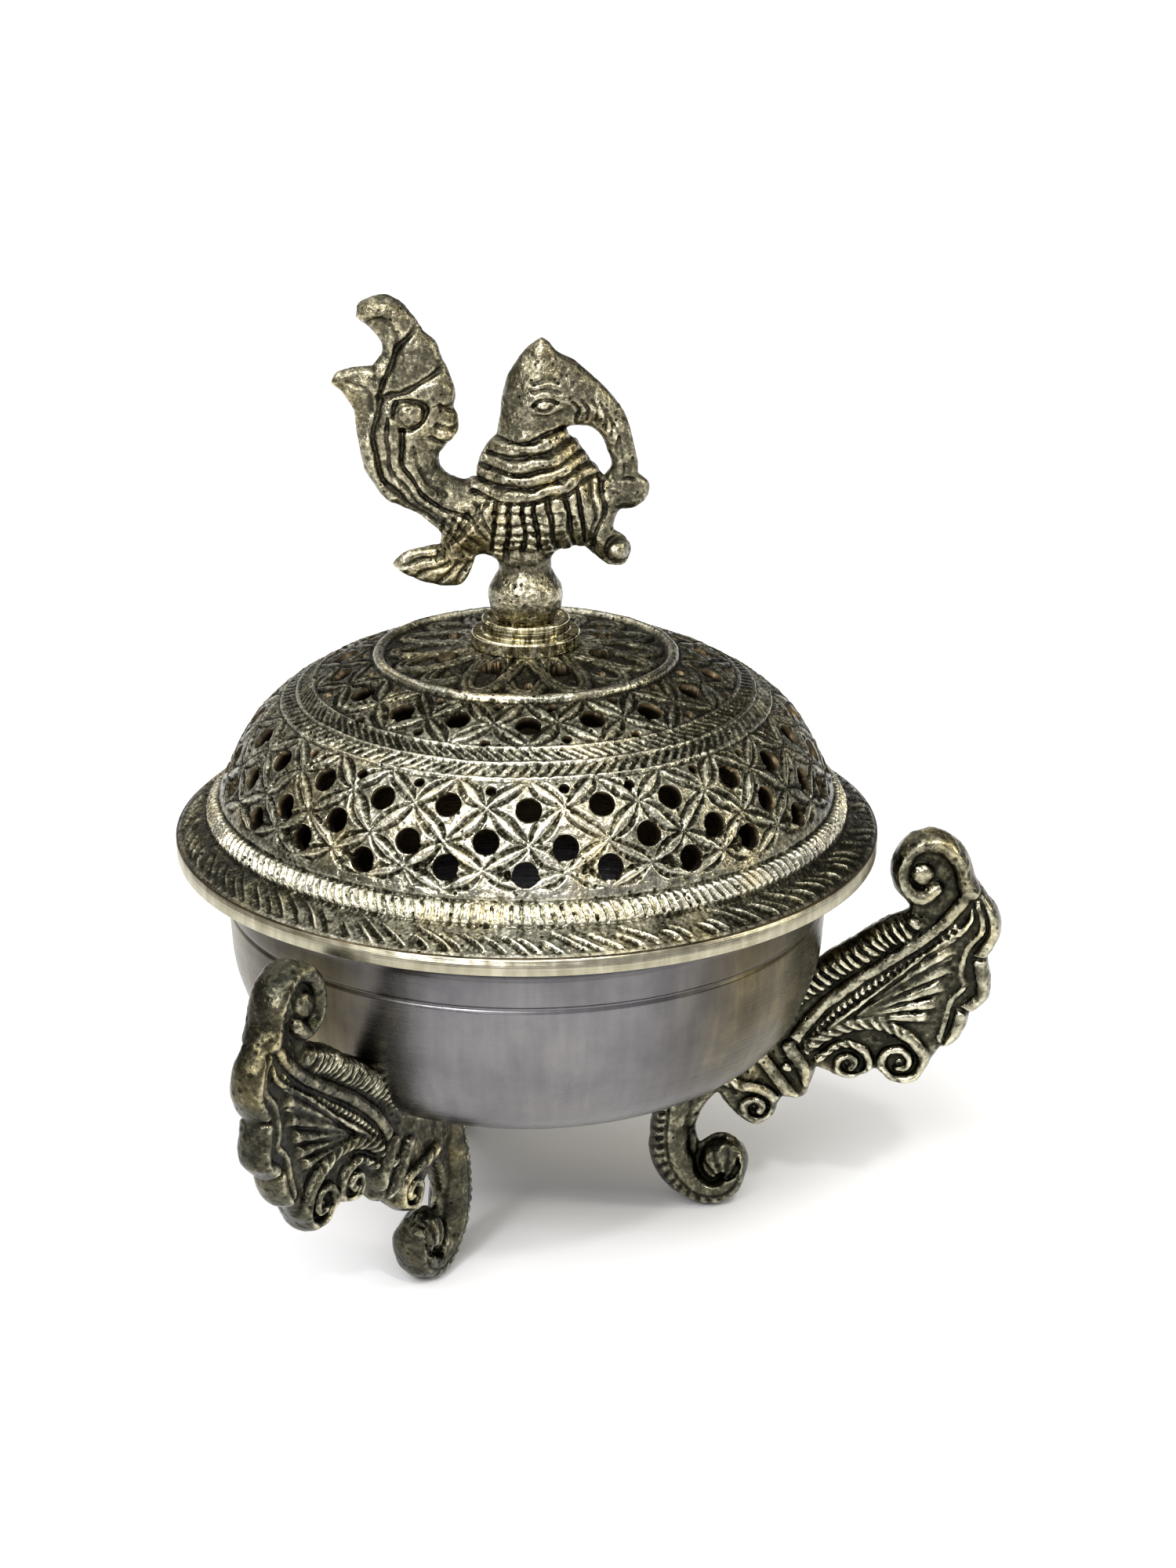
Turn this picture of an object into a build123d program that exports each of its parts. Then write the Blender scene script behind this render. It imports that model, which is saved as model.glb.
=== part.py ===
from build123d import *
from math import cos, degrees, radians, sin
import os

# Covered table censer of cast and turned brass, in millimetres.
# The origin is the centre of the bowl's flat turned underside, +Z is up,
# +X points to the viewer's right and -Y towards the viewer.

# Heights
GROUND = -31.3           # the plane the three feet stand on
SEAM = 45.0              # where the lid's edge band rests on the bowl's lip
BAND_TOP = 48.0          # top of the lid's smooth edge band
SEAT_TOP = 82.3          # flat the finial collar stands on
COLLAR_STEP = 85.0
COLLAR_TOP = 87.5
BALL_SEAT = 87.0         # floor of the shallow recess in the collar's top

# Bowl
LIP_RADIUS = 63.0
NECK_RADIUS = 56.0
MOUTH_RADIUS = 53.5
BASE_RADIUS = 21.0
BASE_THICKNESS = 2.4

# Lid
RIM_RADIUS = 65.0
SPIGOT_OUTER = 53.1
SPIGOT_INNER = 51.1
SPIGOT_DEPTH = 3.0
DISC_RADIUS = 27.8
DISC_BEAD = 1.8

# Smoke holes: drill radii, then each row's count, half-step stagger and drill,
# and the radius, height and lean from vertical (degrees) where its drill goes in.
LARGE_DRILL = 2.25
SMALL_DRILL = 0.9
HOLE_ROWS = [
    (24, 0.0, LARGE_DRILL, 54.9, 59.0, 72),
    (24, 0.5, LARGE_DRILL, 52.9, 63.3, 62),
    (24, 0.0, LARGE_DRILL, 49.2, 68.8, 46),
    (24, 0.5, SMALL_DRILL, 46.6, 71.0, 36),
    (18, 0.0, SMALL_DRILL, 37.8, 76.3, 26),
    (18, 0.5, LARGE_DRILL, 33.6, 78.3, 22),
    (18, 0.0, SMALL_DRILL, 29.6, 79.7, 16),
    (8, 0.5, LARGE_DRILL, 15.0, 81.7, 7),
    (8, 0.0, SMALL_DRILL, 20.0, 81.1, 7),
]
DRILL_REACH = 12.0
DRILL_WANDER = 0.5       # the holes are marked out by hand, so each one is up to this far off its place

# Legs: three castings that stand in planes through the axis
LEG_ANGLES = {"right": -4, "left": -122, "rear": 117}
LEG_THICKNESS = 6.6
FOOT_BALL_THICKNESS = 8.2
FOOT_BALL_RADIUS = 4.9

# Leg screws: M4, square to the wall, driven from inside the bowl
SCREW_TILT = 31.5        # degrees below horizontal
SCREW_RADIUS_AT_WALL = 50.4
SCREW_HEIGHT_AT_WALL = 11.7
SCREW_RADIUS = 2.0
SCREW_HOLE = 2.2
SCREW_REACH = 10.0
SPOT_FACE_DEPTH = 1.7    # wall left under the washer
SPOT_FACE_RADIUS = 4.9
WASHER_RADIUS = 4.5
WASHER_THICKNESS = 0.8
SCREW_HEAD_RADIUS = 3.6
SCREW_HEAD_HEIGHT = 2.4
SLOT_WIDTH = 0.9
SLOT_DEPTH = 1.1

# Finial fastening: M5 stud with a nut and washer under the lid
STUD_RADIUS = 2.5
STUD_HOLE = 2.7
STUD_LOW = 71.0
STUD_HIGH = 96.0
CEILING = 78.2
FINIAL_WASHER_RADIUS = 6.0
FINIAL_WASHER_THICKNESS = 1.0
NUT_ACROSS_FLATS = 8.0
NUT_HEIGHT = 4.0

# Bird
TAIL_THICKNESS = 7.0
TORSO_THICKNESS = 13.0

# Charcoal cup: spun dish that stands loose on the bowl's floor
CUP_BASE_RADIUS = 17.0
CUP_RIM_RADIUS = 35.0
CUP_HEIGHT = 14.0
CUP_WALL = 1.2


def radial_plane(angle):
    """Plane through the axis whose x runs outward at this angle and whose y is up."""
    a = radians(angle)
    return Plane(origin=(0, 0, 0), x_dir=(cos(a), sin(a), 0), z_dir=(sin(a), -cos(a), 0))


def screw_plane(angle):
    """Plane on the bowl's outer wall, square to a leg screw, z pointing out along it."""
    a = radians(angle)
    t = radians(SCREW_TILT)
    centre = (
        SCREW_RADIUS_AT_WALL * cos(a),
        SCREW_RADIUS_AT_WALL * sin(a),
        SCREW_HEIGHT_AT_WALL,
    )
    return Plane(
        origin=centre,
        x_dir=(-sin(a), cos(a), 0),
        z_dir=(cos(a) * cos(t), sin(a) * cos(t), -sin(t)),
    )


def drill_plane(radius, height, lean, angle):
    """Plane on the lid's skin at a smoke hole, z pointing out along the drill."""
    a = radians(angle)
    t = radians(lean)
    return Plane(
        origin=(radius * cos(a), radius * sin(a), height),
        x_dir=(-sin(a), cos(a), 0),
        z_dir=(cos(a) * sin(t), sin(a) * sin(t), cos(t)),
    )


def smoke_hole(row, i):
    """Plane of one smoke hole, a little off its even place around the row and along the skin."""
    count, stagger, _, radius, height, lean = HOLE_ROWS[row]
    around = DRILL_WANDER * sin(2.3 * i + 1.7 * row)
    outward = DRILL_WANDER * cos(3.1 * i + 0.9 * row)
    t = radians(lean)
    return drill_plane(
        radius + outward * cos(t),
        height - outward * sin(t),
        lean,
        (i + stagger) * 360 / count + degrees(around / radius),
    )


def turned_blank(draw_profile):
    """Solid of revolution about the axis from a profile drawn in the x-z plane."""
    with BuildPart() as blank:
        with BuildSketch(Plane.XZ):
            with BuildLine():
                draw_profile()
            make_face()
        revolve(axis=Axis.Z)
    return blank.part


def save(piece, label):
    piece.part.label = label
    export_step(piece.part, f"parts/{label}.step")


# Bowl: turned inside and out, with a flared lip, a straight neck and a groove under it


def bowl_outer_profile():
    Polyline((0, 0), (0, SEAM), (LIP_RADIUS, SEAM), (LIP_RADIUS, SEAM - 0.5))
    Spline((LIP_RADIUS, SEAM - 0.5), (60.2, 43.2), (57.2, 41.4), (NECK_RADIUS, 40.0))
    Polyline((NECK_RADIUS, 40.0), (NECK_RADIUS, 35.0), (55.5, 34.4), (55.8, 33.8))
    Spline(
        (55.8, 33.8), (54.7, 22.0), (50.4, 11.7), (44.0, 6.0), (34.0, 2.2), (BASE_RADIUS, 0),
        tangents=((0, -1), (-1, -0.08)),
    )
    Line((BASE_RADIUS, 0), (0, 0))


def bowl_inner_profile():
    Polyline((0, BASE_THICKNESS), (0, SEAM), (MOUTH_RADIUS, SEAM), (MOUTH_RADIUS, 33.0))
    Spline(
        (MOUTH_RADIUS, 33.0), (52.5, 22.5), (48.6, 13.0), (42.7, 7.9), (33.2, 4.4), (22.0, BASE_THICKNESS),
        tangents=((0, -1), (-1, -0.08)),
    )
    Line((22.0, BASE_THICKNESS), (0, BASE_THICKNESS))


def make_bowl(outside, inside):
    with BuildPart() as bowl:
        add(outside)
        add(inside, mode=Mode.SUBTRACT)
        for angle in LEG_ANGLES.values():
            wall = screw_plane(angle)
            with BuildSketch(wall.offset(-SPOT_FACE_DEPTH - 6.0)):
                Circle(SPOT_FACE_RADIUS)
            extrude(amount=6.0, mode=Mode.SUBTRACT)
            with BuildSketch(wall.offset(-6.0)):
                Circle(SCREW_HOLE)
            extrude(amount=12.0, mode=Mode.SUBTRACT)
    return bowl


# Lid: pierced dome with a smooth edge band, a top disc inside a bead, and a spigot ring below


def lid_outer_profile():
    Polyline((0, SEAM), (RIM_RADIUS, SEAM), (RIM_RADIUS, BAND_TOP), (RIM_RADIUS - 0.4, BAND_TOP + 0.2))
    Spline(
        (RIM_RADIUS - 0.4, BAND_TOP + 0.2), (62.2, 49.9), (59.4, 51.6), (57.3, 54.2), (55.9, 57.2),
        (52.2, 64.7), (47.6, 70.2), (40.0, 75.2), (DISC_RADIUS, 80.3),
    )
    bead_foot = DISC_RADIUS - DISC_BEAD
    ThreePointArc((DISC_RADIUS, 80.3), (DISC_RADIUS - DISC_BEAD / 2, 81.1), (bead_foot, 80.3))
    Spline((bead_foot, 80.3), (18.0, 81.4), (10.6, SEAT_TOP))
    Polyline((10.6, SEAT_TOP), (0, SEAT_TOP), (0, SEAM))


def lid_inner_profile():
    Polyline((0, SEAM), (SPIGOT_INNER, SEAM), (SPIGOT_INNER, 48.5))
    Spline((SPIGOT_INNER, 48.5), (52.6, 54.0), (53.3, 57.2), (50.3, 63.4), (46.2, 68.4), (39.0, 73.2), (27.0, CEILING))
    Polyline((27.0, CEILING), (0, CEILING), (0, SEAM))


def make_lid():
    shell = turned_blank(lid_outer_profile)
    hollow = turned_blank(lid_inner_profile)
    with BuildPart() as lid:
        add(shell)
        add(hollow, mode=Mode.SUBTRACT)
        with BuildSketch(Plane.XY.offset(SEAM - SPIGOT_DEPTH)):
            Circle(SPIGOT_OUTER)
            Circle(SPIGOT_INNER, mode=Mode.SUBTRACT)
        extrude(amount=SPIGOT_DEPTH)
        with BuildSketch(Plane.XY.offset(CEILING - 1.0)):
            Circle(STUD_HOLE)
        extrude(amount=8.0, mode=Mode.SUBTRACT)
        for row, (count, _, drill, *_) in enumerate(HOLE_ROWS):
            with Locations(*(smoke_hole(row, i) for i in range(count))):
                Cylinder(drill, DRILL_REACH, mode=Mode.SUBTRACT)
    return lid


# Finial: a turned collar, a cast bird on a ball, and the stud, washer and nut that hold them


def make_collar():
    with BuildPart() as collar:
        with BuildSketch(Plane.XY.offset(SEAT_TOP)):
            Circle(9.9)
        extrude(amount=COLLAR_STEP - SEAT_TOP)
        with BuildSketch(Plane.XY.offset(COLLAR_STEP)):
            Circle(8.0)
        extrude(amount=COLLAR_TOP - COLLAR_STEP)
        with BuildSketch(Plane.XY.offset(BALL_SEAT)):
            Circle(7.0)
        extrude(amount=COLLAR_TOP - BALL_SEAT, mode=Mode.SUBTRACT)
        with BuildSketch(Plane.XY.offset(SEAT_TOP)):
            Circle(STUD_HOLE)
        extrude(amount=COLLAR_TOP - SEAT_TOP, mode=Mode.SUBTRACT)
    return collar


def bird_outline():
    """Bird seen from the front, head to the right, as smooth runs between its corners."""
    # tail tip, down the tail's inner edge to its last lobe
    Spline((-29.2, 142.0), (-24.3, 145.7), (-19.6, 142.6), (-15.0, 136.6))
    Spline((-15.0, 136.6), (-12.5, 130.6), (-12.5, 125.8))
    Spline((-12.5, 125.8), (-11.7, 122.6), (-14.2, 119.3))
    # saddle between the tail and the neck
    Spline((-14.2, 119.3), (-14.6, 115.0), (-11.2, 112.9), (-8.4, 113.6))
    # nape and crown
    Spline((-8.4, 113.6), (-7.3, 118.2), (-4.8, 121.6))
    Spline((-4.8, 121.6), (-3.4, 130.2), (-0.4, 135.3), (2.9, 138.2))
    # brow and the long beak, to the bulb at its tip
    Spline((2.9, 138.2), (5.2, 136.0), (11.8, 131.7), (18.0, 124.0), (20.3, 114.2))
    Spline((20.3, 114.2), (22.4, 110.6), (20.6, 108.0), (16.6, 107.0))
    # breast and its knob
    Spline((16.6, 107.0), (16.0, 103.8), (18.9, 100.4), (16.5, 97.1), (11.8, 99.7), (7.5, 100.6), (4.2, 98.2))
    Line((4.2, 98.2), (-4.2, 98.0))
    # belly and fin
    Spline((-4.2, 98.0), (-6.2, 98.9), (-8.8, 98.9))
    Spline((-8.8, 98.9), (-10.2, 95.2), (-14.5, 93.3), (-20.6, 94.6), (-24.1, 97.2))
    Spline((-24.1, 97.2), (-20.2, 99.9), (-15.2, 101.0))
    # back of the tail, up to the spur and the tip
    Spline((-15.2, 101.0), (-17.6, 105.6), (-26.0, 111.2), (-29.7, 119.0), (-30.8, 126.4), (-34.1, 130.6))
    Spline((-34.1, 130.6), (-30.6, 133.1), (-26.4, 133.8), (-25.2, 137.6), (-29.2, 142.0))


def beak_gap():
    """Opening between the hanging beak and the breast."""
    Spline((6.6, 122.4), (11.6, 122.2), (14.9, 117.4), (14.0, 113.5))
    Spline((14.0, 113.5), (10.6, 118.2), (6.6, 122.4))


def torso_outline():
    Spline((-8.2, 113.2), (2.5, 117.0), (12.6, 112.6))
    Spline((12.6, 112.6), (15.0, 105.5), (11.6, 101.2), (0.0, 99.3), (-10.0, 101.2), (-12.0, 107.0), (-8.2, 113.2))


def ball_profile():
    Polyline((0, 100.0), (0, BALL_SEAT), (5.0, BALL_SEAT))
    Spline((5.0, BALL_SEAT), (6.7, 91.3), (4.5, 96.0), (4.3, 100.0))
    Line((4.3, 100.0), (0, 100.0))


def make_bird():
    front = Plane.XZ
    ball = turned_blank(ball_profile)
    with BuildPart() as bird:
        with BuildSketch(front):
            with BuildLine():
                bird_outline()
            make_face()
            with BuildLine():
                beak_gap()
            make_face(mode=Mode.SUBTRACT)
        extrude(amount=TAIL_THICKNESS / 2, both=True)
        with BuildSketch(front):
            with BuildLine():
                torso_outline()
            make_face()
        extrude(amount=TORSO_THICKNESS / 2, both=True)
        add(ball)
        with BuildSketch(Plane.XY.offset(BALL_SEAT)):
            Circle(STUD_RADIUS)
        extrude(amount=STUD_HIGH + 0.5 - BALL_SEAT, mode=Mode.SUBTRACT)
    return bird


def make_stud():
    with BuildPart() as stud:
        with BuildSketch(Plane.XY.offset(STUD_LOW)):
            Circle(STUD_RADIUS)
        extrude(amount=STUD_HIGH - STUD_LOW)
        chamfer(stud.edges().filter_by(GeomType.CIRCLE), length=0.5)
    return stud


def make_finial_washer():
    with BuildPart() as washer:
        with BuildSketch(Plane.XY.offset(CEILING - FINIAL_WASHER_THICKNESS)):
            Circle(FINIAL_WASHER_RADIUS)
            Circle(STUD_HOLE, mode=Mode.SUBTRACT)
        extrude(amount=FINIAL_WASHER_THICKNESS)
    return washer


def make_finial_nut():
    nut_top = CEILING - FINIAL_WASHER_THICKNESS
    with BuildPart() as nut:
        with BuildSketch(Plane.XY.offset(nut_top - NUT_HEIGHT)):
            RegularPolygon(NUT_ACROSS_FLATS / 2, 6, major_radius=False)
            Circle(STUD_RADIUS, mode=Mode.SUBTRACT)
        extrude(amount=NUT_HEIGHT)
    return nut


# Legs: scrolled castings, each with a curl at the top, a lobed wing and a curled foot


def leg_outline():
    """Leg in its radial plane: x is the distance from the axis, y the height."""
    # foot, from the bowl's underside down its inner side and round its curled end
    Spline(
        (27.0, 4.0), (24.3, -9.0), (23.6, -19.5), (27.4, -28.0), (35.4, -31.9), (41.4, -28.2), (42.9, -22.6),
        (41.2, -18.2), (37.5, -16.4), (34.9, -17.1), (33.3, -18.6),
    )
    # back up the foot to the root
    Spline((33.3, -18.6), (32.6, -15.4), (33.6, -11.4), (36.7, -7.2))
    # small volute, the two bands and the two large volutes under the wing
    Spline((36.7, -7.2), (40.0, -11.6), (43.8, -13.7), (47.4, -11.6), (48.4, -8.4))
    Spline((48.4, -8.4), (51.2, -7.9), (53.8, -6.6), (54.4, -4.2), (55.4, -1.2))
    Spline((55.4, -1.2), (58.6, -3.0), (62.4, -3.2), (66.6, -1.2))
    Spline((66.6, -1.2), (69.2, -3.6), (72.4, -4.1), (75.4, -2.4), (78.2, 3.4))
    # three lobes of the wing's outer border
    Spline((78.2, 3.4), (82.3, 5.6), (83.9, 10.9))
    Spline((83.9, 10.9), (87.4, 14.4), (86.7, 22.4))
    Spline((86.7, 22.4), (89.1, 28.4), (84.4, 37.2))
    # curl at the top, and back down the inner edge to the bowl
    Spline((84.4, 37.2), (80.9, 44.5), (74.6, 47.6), (68.3, 42.6), (68.6, 36.0), (71.4, 32.2))
    Spline((71.4, 32.2), (65.2, 28.3), (54.5, 20.6), (48.0, 14.0))
    Line((48.0, 14.0), (27.0, 4.0))


def make_leg(angle, bowl_envelope):
    plane = radial_plane(angle)
    wall = screw_plane(angle)
    with BuildPart() as leg:
        with BuildSketch(plane):
            with BuildLine():
                leg_outline()
            make_face()
        extrude(amount=LEG_THICKNESS / 2, both=True)
        with BuildSketch(plane):
            with Locations((37.6, -22.4)):
                Circle(FOOT_BALL_RADIUS)
        extrude(amount=FOOT_BALL_THICKNESS / 2, both=True)
        add(bowl_envelope, mode=Mode.SUBTRACT)
        with BuildSketch(Plane.XY.offset(GROUND)):
            Circle(RIM_RADIUS)
        extrude(amount=-5.0, mode=Mode.SUBTRACT)
        with BuildSketch(wall.offset(-4.0)):
            Circle(SCREW_RADIUS)
        extrude(amount=SCREW_REACH + 4.5, mode=Mode.SUBTRACT)
    return leg


def make_leg_screw(angle):
    wall = screw_plane(angle)
    head_seat = -SPOT_FACE_DEPTH - WASHER_THICKNESS
    with BuildPart() as screw:
        with BuildSketch(wall.offset(head_seat - SCREW_HEAD_HEIGHT)):
            Circle(SCREW_HEAD_RADIUS)
        extrude(amount=SCREW_HEAD_HEIGHT)
        with BuildSketch(wall.offset(head_seat)):
            Circle(SCREW_RADIUS)
        extrude(amount=SCREW_REACH - head_seat)
        with BuildSketch(wall.offset(head_seat - SCREW_HEAD_HEIGHT)):
            Rectangle(3 * SCREW_HEAD_RADIUS, SLOT_WIDTH)
        extrude(amount=SLOT_DEPTH, mode=Mode.SUBTRACT)
    return screw


def make_leg_washer(angle):
    wall = screw_plane(angle)
    with BuildPart() as washer:
        with BuildSketch(wall.offset(-SPOT_FACE_DEPTH - WASHER_THICKNESS)):
            Circle(WASHER_RADIUS)
            Circle(SCREW_HOLE, mode=Mode.SUBTRACT)
        extrude(amount=WASHER_THICKNESS)
    return washer


# Charcoal cup


def cup_profile():
    floor = BASE_THICKNESS
    rim = floor + CUP_HEIGHT
    Line((0, floor), (CUP_BASE_RADIUS, floor))
    Spline((CUP_BASE_RADIUS, floor), (27.0, floor + 4.0), (32.0, rim - 1.2))
    Polyline((32.0, rim - 1.2), (CUP_RIM_RADIUS, rim - 1.2), (CUP_RIM_RADIUS, rim), (31.0, rim))
    Spline((31.0, rim), (26.2, floor + 5.4), (CUP_BASE_RADIUS - 0.6, floor + CUP_WALL))
    Polyline((CUP_BASE_RADIUS - 0.6, floor + CUP_WALL), (0, floor + CUP_WALL), (0, floor))


def make_cup():
    dish = turned_blank(cup_profile)
    with BuildPart() as cup:
        add(dish)
    return cup


os.makedirs("parts", exist_ok=True)

bowl_outside = turned_blank(bowl_outer_profile)
bowl_inside = turned_blank(bowl_inner_profile)

save(make_bowl(bowl_outside, bowl_inside), "bowl")
save(make_lid(), "lid")
save(make_collar(), "finial_collar")
save(make_bird(), "finial_bird")
save(make_stud(), "finial_stud")
save(make_finial_washer(), "finial_washer")
save(make_finial_nut(), "finial_nut")
save(make_cup(), "charcoal_cup")
for side, leg_angle in LEG_ANGLES.items():
    save(make_leg(leg_angle, bowl_outside), f"leg_{side}")
    save(make_leg_screw(leg_angle), f"leg_screw_{side}")
    save(make_leg_washer(leg_angle), f"leg_washer_{side}")
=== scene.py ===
"""Looks of the tabletop censer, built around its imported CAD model. Shapes are in millimetres until they become meshes."""

import math

import bmesh
import bpy
import numpy as np
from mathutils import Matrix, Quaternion, Vector


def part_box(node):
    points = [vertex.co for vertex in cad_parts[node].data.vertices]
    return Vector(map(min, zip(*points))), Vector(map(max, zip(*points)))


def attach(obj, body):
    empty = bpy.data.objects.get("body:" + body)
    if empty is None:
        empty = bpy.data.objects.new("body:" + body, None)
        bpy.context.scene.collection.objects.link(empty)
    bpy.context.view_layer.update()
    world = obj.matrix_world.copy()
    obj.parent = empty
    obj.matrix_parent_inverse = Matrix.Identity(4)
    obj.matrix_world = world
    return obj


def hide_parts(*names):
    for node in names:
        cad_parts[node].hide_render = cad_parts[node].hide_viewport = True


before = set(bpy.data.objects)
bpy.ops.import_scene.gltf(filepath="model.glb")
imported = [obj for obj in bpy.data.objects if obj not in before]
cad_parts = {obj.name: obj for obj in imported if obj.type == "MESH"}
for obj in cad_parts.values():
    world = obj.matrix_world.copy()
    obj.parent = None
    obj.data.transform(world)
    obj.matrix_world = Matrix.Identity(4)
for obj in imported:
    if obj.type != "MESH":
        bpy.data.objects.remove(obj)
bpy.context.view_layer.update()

MM = 0.001
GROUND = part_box("leg_right")[0].z / MM
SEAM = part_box("lid")[0].z / MM + 3.0
RIM_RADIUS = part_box("lid")[1].x / MM
LIP_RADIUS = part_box("bowl")[1].x / MM
COLLAR_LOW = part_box("finial_collar")[0].z / MM
COLLAR_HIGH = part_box("finial_collar")[1].z / MM
BALL_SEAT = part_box("finial_bird")[0].z / MM
CUP_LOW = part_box("charcoal_cup")[0].z / MM
CUP_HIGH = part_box("charcoal_cup")[1].z / MM
LEG_ANGLES = {"right": -4, "left": -122, "rear": 117}
rng = np.random.default_rng(7)


# ---------------------------------------------------------------- curves and distances


def smooth_run(points, steps=8):
    """Smooth curve through the points."""
    p = np.array(points, float)
    p = np.vstack([2 * p[0] - p[1], p, 2 * p[-1] - p[-2]])
    t = np.linspace(0, 1, steps, endpoint=False)[:, None]
    spans = []
    for a, b, c, d in zip(p[:-3], p[1:-2], p[2:-1], p[3:]):
        bend = (2 * a - 5 * b + 4 * c - d) * t**2 + (3 * b - a - 3 * c + d) * t**3
        spans.append(0.5 * (2 * b + (c - a) * t + bend))
    return np.vstack(spans + [p[-2:-1]])


def smooth_loop(runs):
    """Closed outline from smooth runs that meet at corners."""
    return np.vstack([smooth_run(run)[:-1] for run in runs])


def path_distance(u, w, path):
    """Distance of grid points from a path, the length along it to the nearest point, and the signed side."""
    best = np.full(u.shape, np.inf)
    along = np.zeros(u.shape)
    side = np.ones(u.shape)
    start = 0.0
    for a, b in zip(path[:-1], path[1:]):
        d = b - a
        length = math.hypot(*d)
        if length < 1e-9:
            continue
        t = np.clip(((u - a[0]) * d[0] + (w - a[1]) * d[1]) / length**2, 0, 1)
        du = u - a[0] - t * d[0]
        dw = w - a[1] - t * d[1]
        dist = np.hypot(du, dw)
        closer = dist < best
        best = np.where(closer, dist, best)
        along = np.where(closer, start + t * length, along)
        side = np.where(closer, np.sign(d[0] * dw - d[1] * du), side)
        start += length
    return best, along, side


def outline_distance(u, w, loop):
    """Signed distance from a closed outline, negative inside."""
    closed = np.vstack([loop, loop[:1]])
    dist = path_distance(u, w, closed)[0]
    inside = np.zeros(u.shape, bool)
    for a, b in zip(closed[:-1], closed[1:]):
        if a[1] == b[1]:
            continue
        spans = (a[1] > w) != (b[1] > w)
        crossing = a[0] + (w - a[1]) * (b[0] - a[0]) / (b[1] - a[1])
        inside ^= spans & (u < crossing)
    return np.where(inside, -dist, dist)


def smoothstep(low, high, x):
    t = np.clip((x - low) / (high - low), 0, 1)
    return t * t * (3 - 2 * t)


def smooth_union(a, b, k):
    h = np.clip(0.5 + 0.5 * (b - a) / k, 0, 1)
    return b * (1 - h) + a * h - k * h * (1 - h)


def blended(u, w, spots, reach):
    """Value that drifts between spots (u, w, value)."""
    total = np.full(u.shape, 1e-9)
    value = np.zeros(u.shape)
    for su, sw, v in spots:
        weight = np.exp(-(((u - su) ** 2 + (w - sw) ** 2) / reach**2))
        total += weight
        value += weight * v
    return value / total


def unevenness(points, size, seed, terms=20):
    """Smooth random value about 0 with spread 1 and features of about this size, at points in space."""
    local = np.random.default_rng(seed)
    waves = local.normal(0, 1, (terms, points.shape[-1]))
    lengths = size / local.uniform(0.6, 1.4, terms)
    waves *= (2 * math.pi / lengths / np.linalg.norm(waves, axis=1))[:, None]
    phases = local.uniform(0, 2 * math.pi, terms)
    total = 0
    for wave, phase in zip(waves, phases):
        total = total + np.sin(points @ wave + phase)
    return total / math.sqrt(terms / 2)


def crest(dist, half_width):
    """Half-round cross-section: 1 on the line, 0 from half_width on."""
    return np.sqrt(np.clip(1 - (dist / half_width) ** 2, 0, 1))


# ---------------------------------------------------------------- relief strokes on a casting's face


def groove(u, w, points, width, depth):
    dist = path_distance(u, w, smooth_run(points))[0]
    return -depth * np.exp(-((dist / width) ** 2))


def ridge(u, w, points, width, height):
    return -groove(u, w, points, width, height)


def knob(u, w, centre, radius, height):
    dist = np.hypot(u - centre[0], w - centre[1])
    return height * np.sqrt(np.clip(1 - (dist / radius) ** 2, 0, 1))


def ring_groove(u, w, centre, radius, width, depth):
    dist = np.abs(np.hypot(u - centre[0], w - centre[1]) - radius)
    return -depth * np.exp(-((dist / width) ** 2))


# ---------------------------------------------------------------- meshes


def surface_nets(field, low, step):
    """Vertices and quads along the zero level of a sampled field that is negative inside."""
    cells = tuple(n - 1 for n in field.shape)
    total = np.zeros(cells + (3,), np.float32)
    count = np.zeros(cells, np.float32)
    crossings = []
    for axis in range(3):
        a = np.moveaxis(field, axis, 0)
        a, b = a[:-1], a[1:]
        crossing = (a < 0) != (b < 0)
        t = np.where(crossing, a / np.where(crossing, a - b, 1), 0).astype(np.float32)
        crossings.append((crossing, a < 0))
        others = [k for k in range(3) if k != axis]
        sizes = [cells[k] for k in others]
        moved_total = np.moveaxis(total, axis, 0)
        moved_count = np.moveaxis(count, axis, 0)
        for du in (0, 1):
            for dv in (0, 1):
                window = (slice(None), slice(du, du + sizes[0]), slice(dv, dv + sizes[1]))
                hit = crossing[window]
                moved_count += hit
                moved_total[..., axis] += t[window]
                moved_total[..., others[0]] += hit * du
                moved_total[..., others[1]] += hit * dv
    active = count > 0
    index = np.full(cells, -1, np.int64)
    index[active] = np.arange(active.sum())
    corner = np.argwhere(active)
    verts = np.array(low) + step * (corner + total[active] / count[active][:, None])
    quads = []
    for axis, (crossing, starts_inside) in enumerate(crossings):
        moved = np.moveaxis(index, axis, 0)
        inner = crossing[:, 1:-1, 1:-1]
        where = np.argwhere(inner)
        i, j, k = where[:, 0], where[:, 1] + 1, where[:, 2] + 1
        quad = np.stack([moved[i, j - 1, k - 1], moved[i, j, k - 1], moved[i, j, k], moved[i, j - 1, k]], 1)
        forward = starts_inside[:, 1:-1, 1:-1][inner]
        if axis == 1:
            forward = ~forward
        quad[~forward] = quad[~forward][:, ::-1]
        quads.append(quad)
    return verts, np.vstack(quads)


def close_up(mesh):
    """Merges the points that meet on the axis, and turns every face outwards."""
    shape = bmesh.new()
    shape.from_mesh(mesh)
    bmesh.ops.remove_doubles(shape, verts=shape.verts, dist=1e-6)
    bmesh.ops.recalc_face_normals(shape, faces=shape.faces)
    shape.to_mesh(mesh)
    shape.free()


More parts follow.
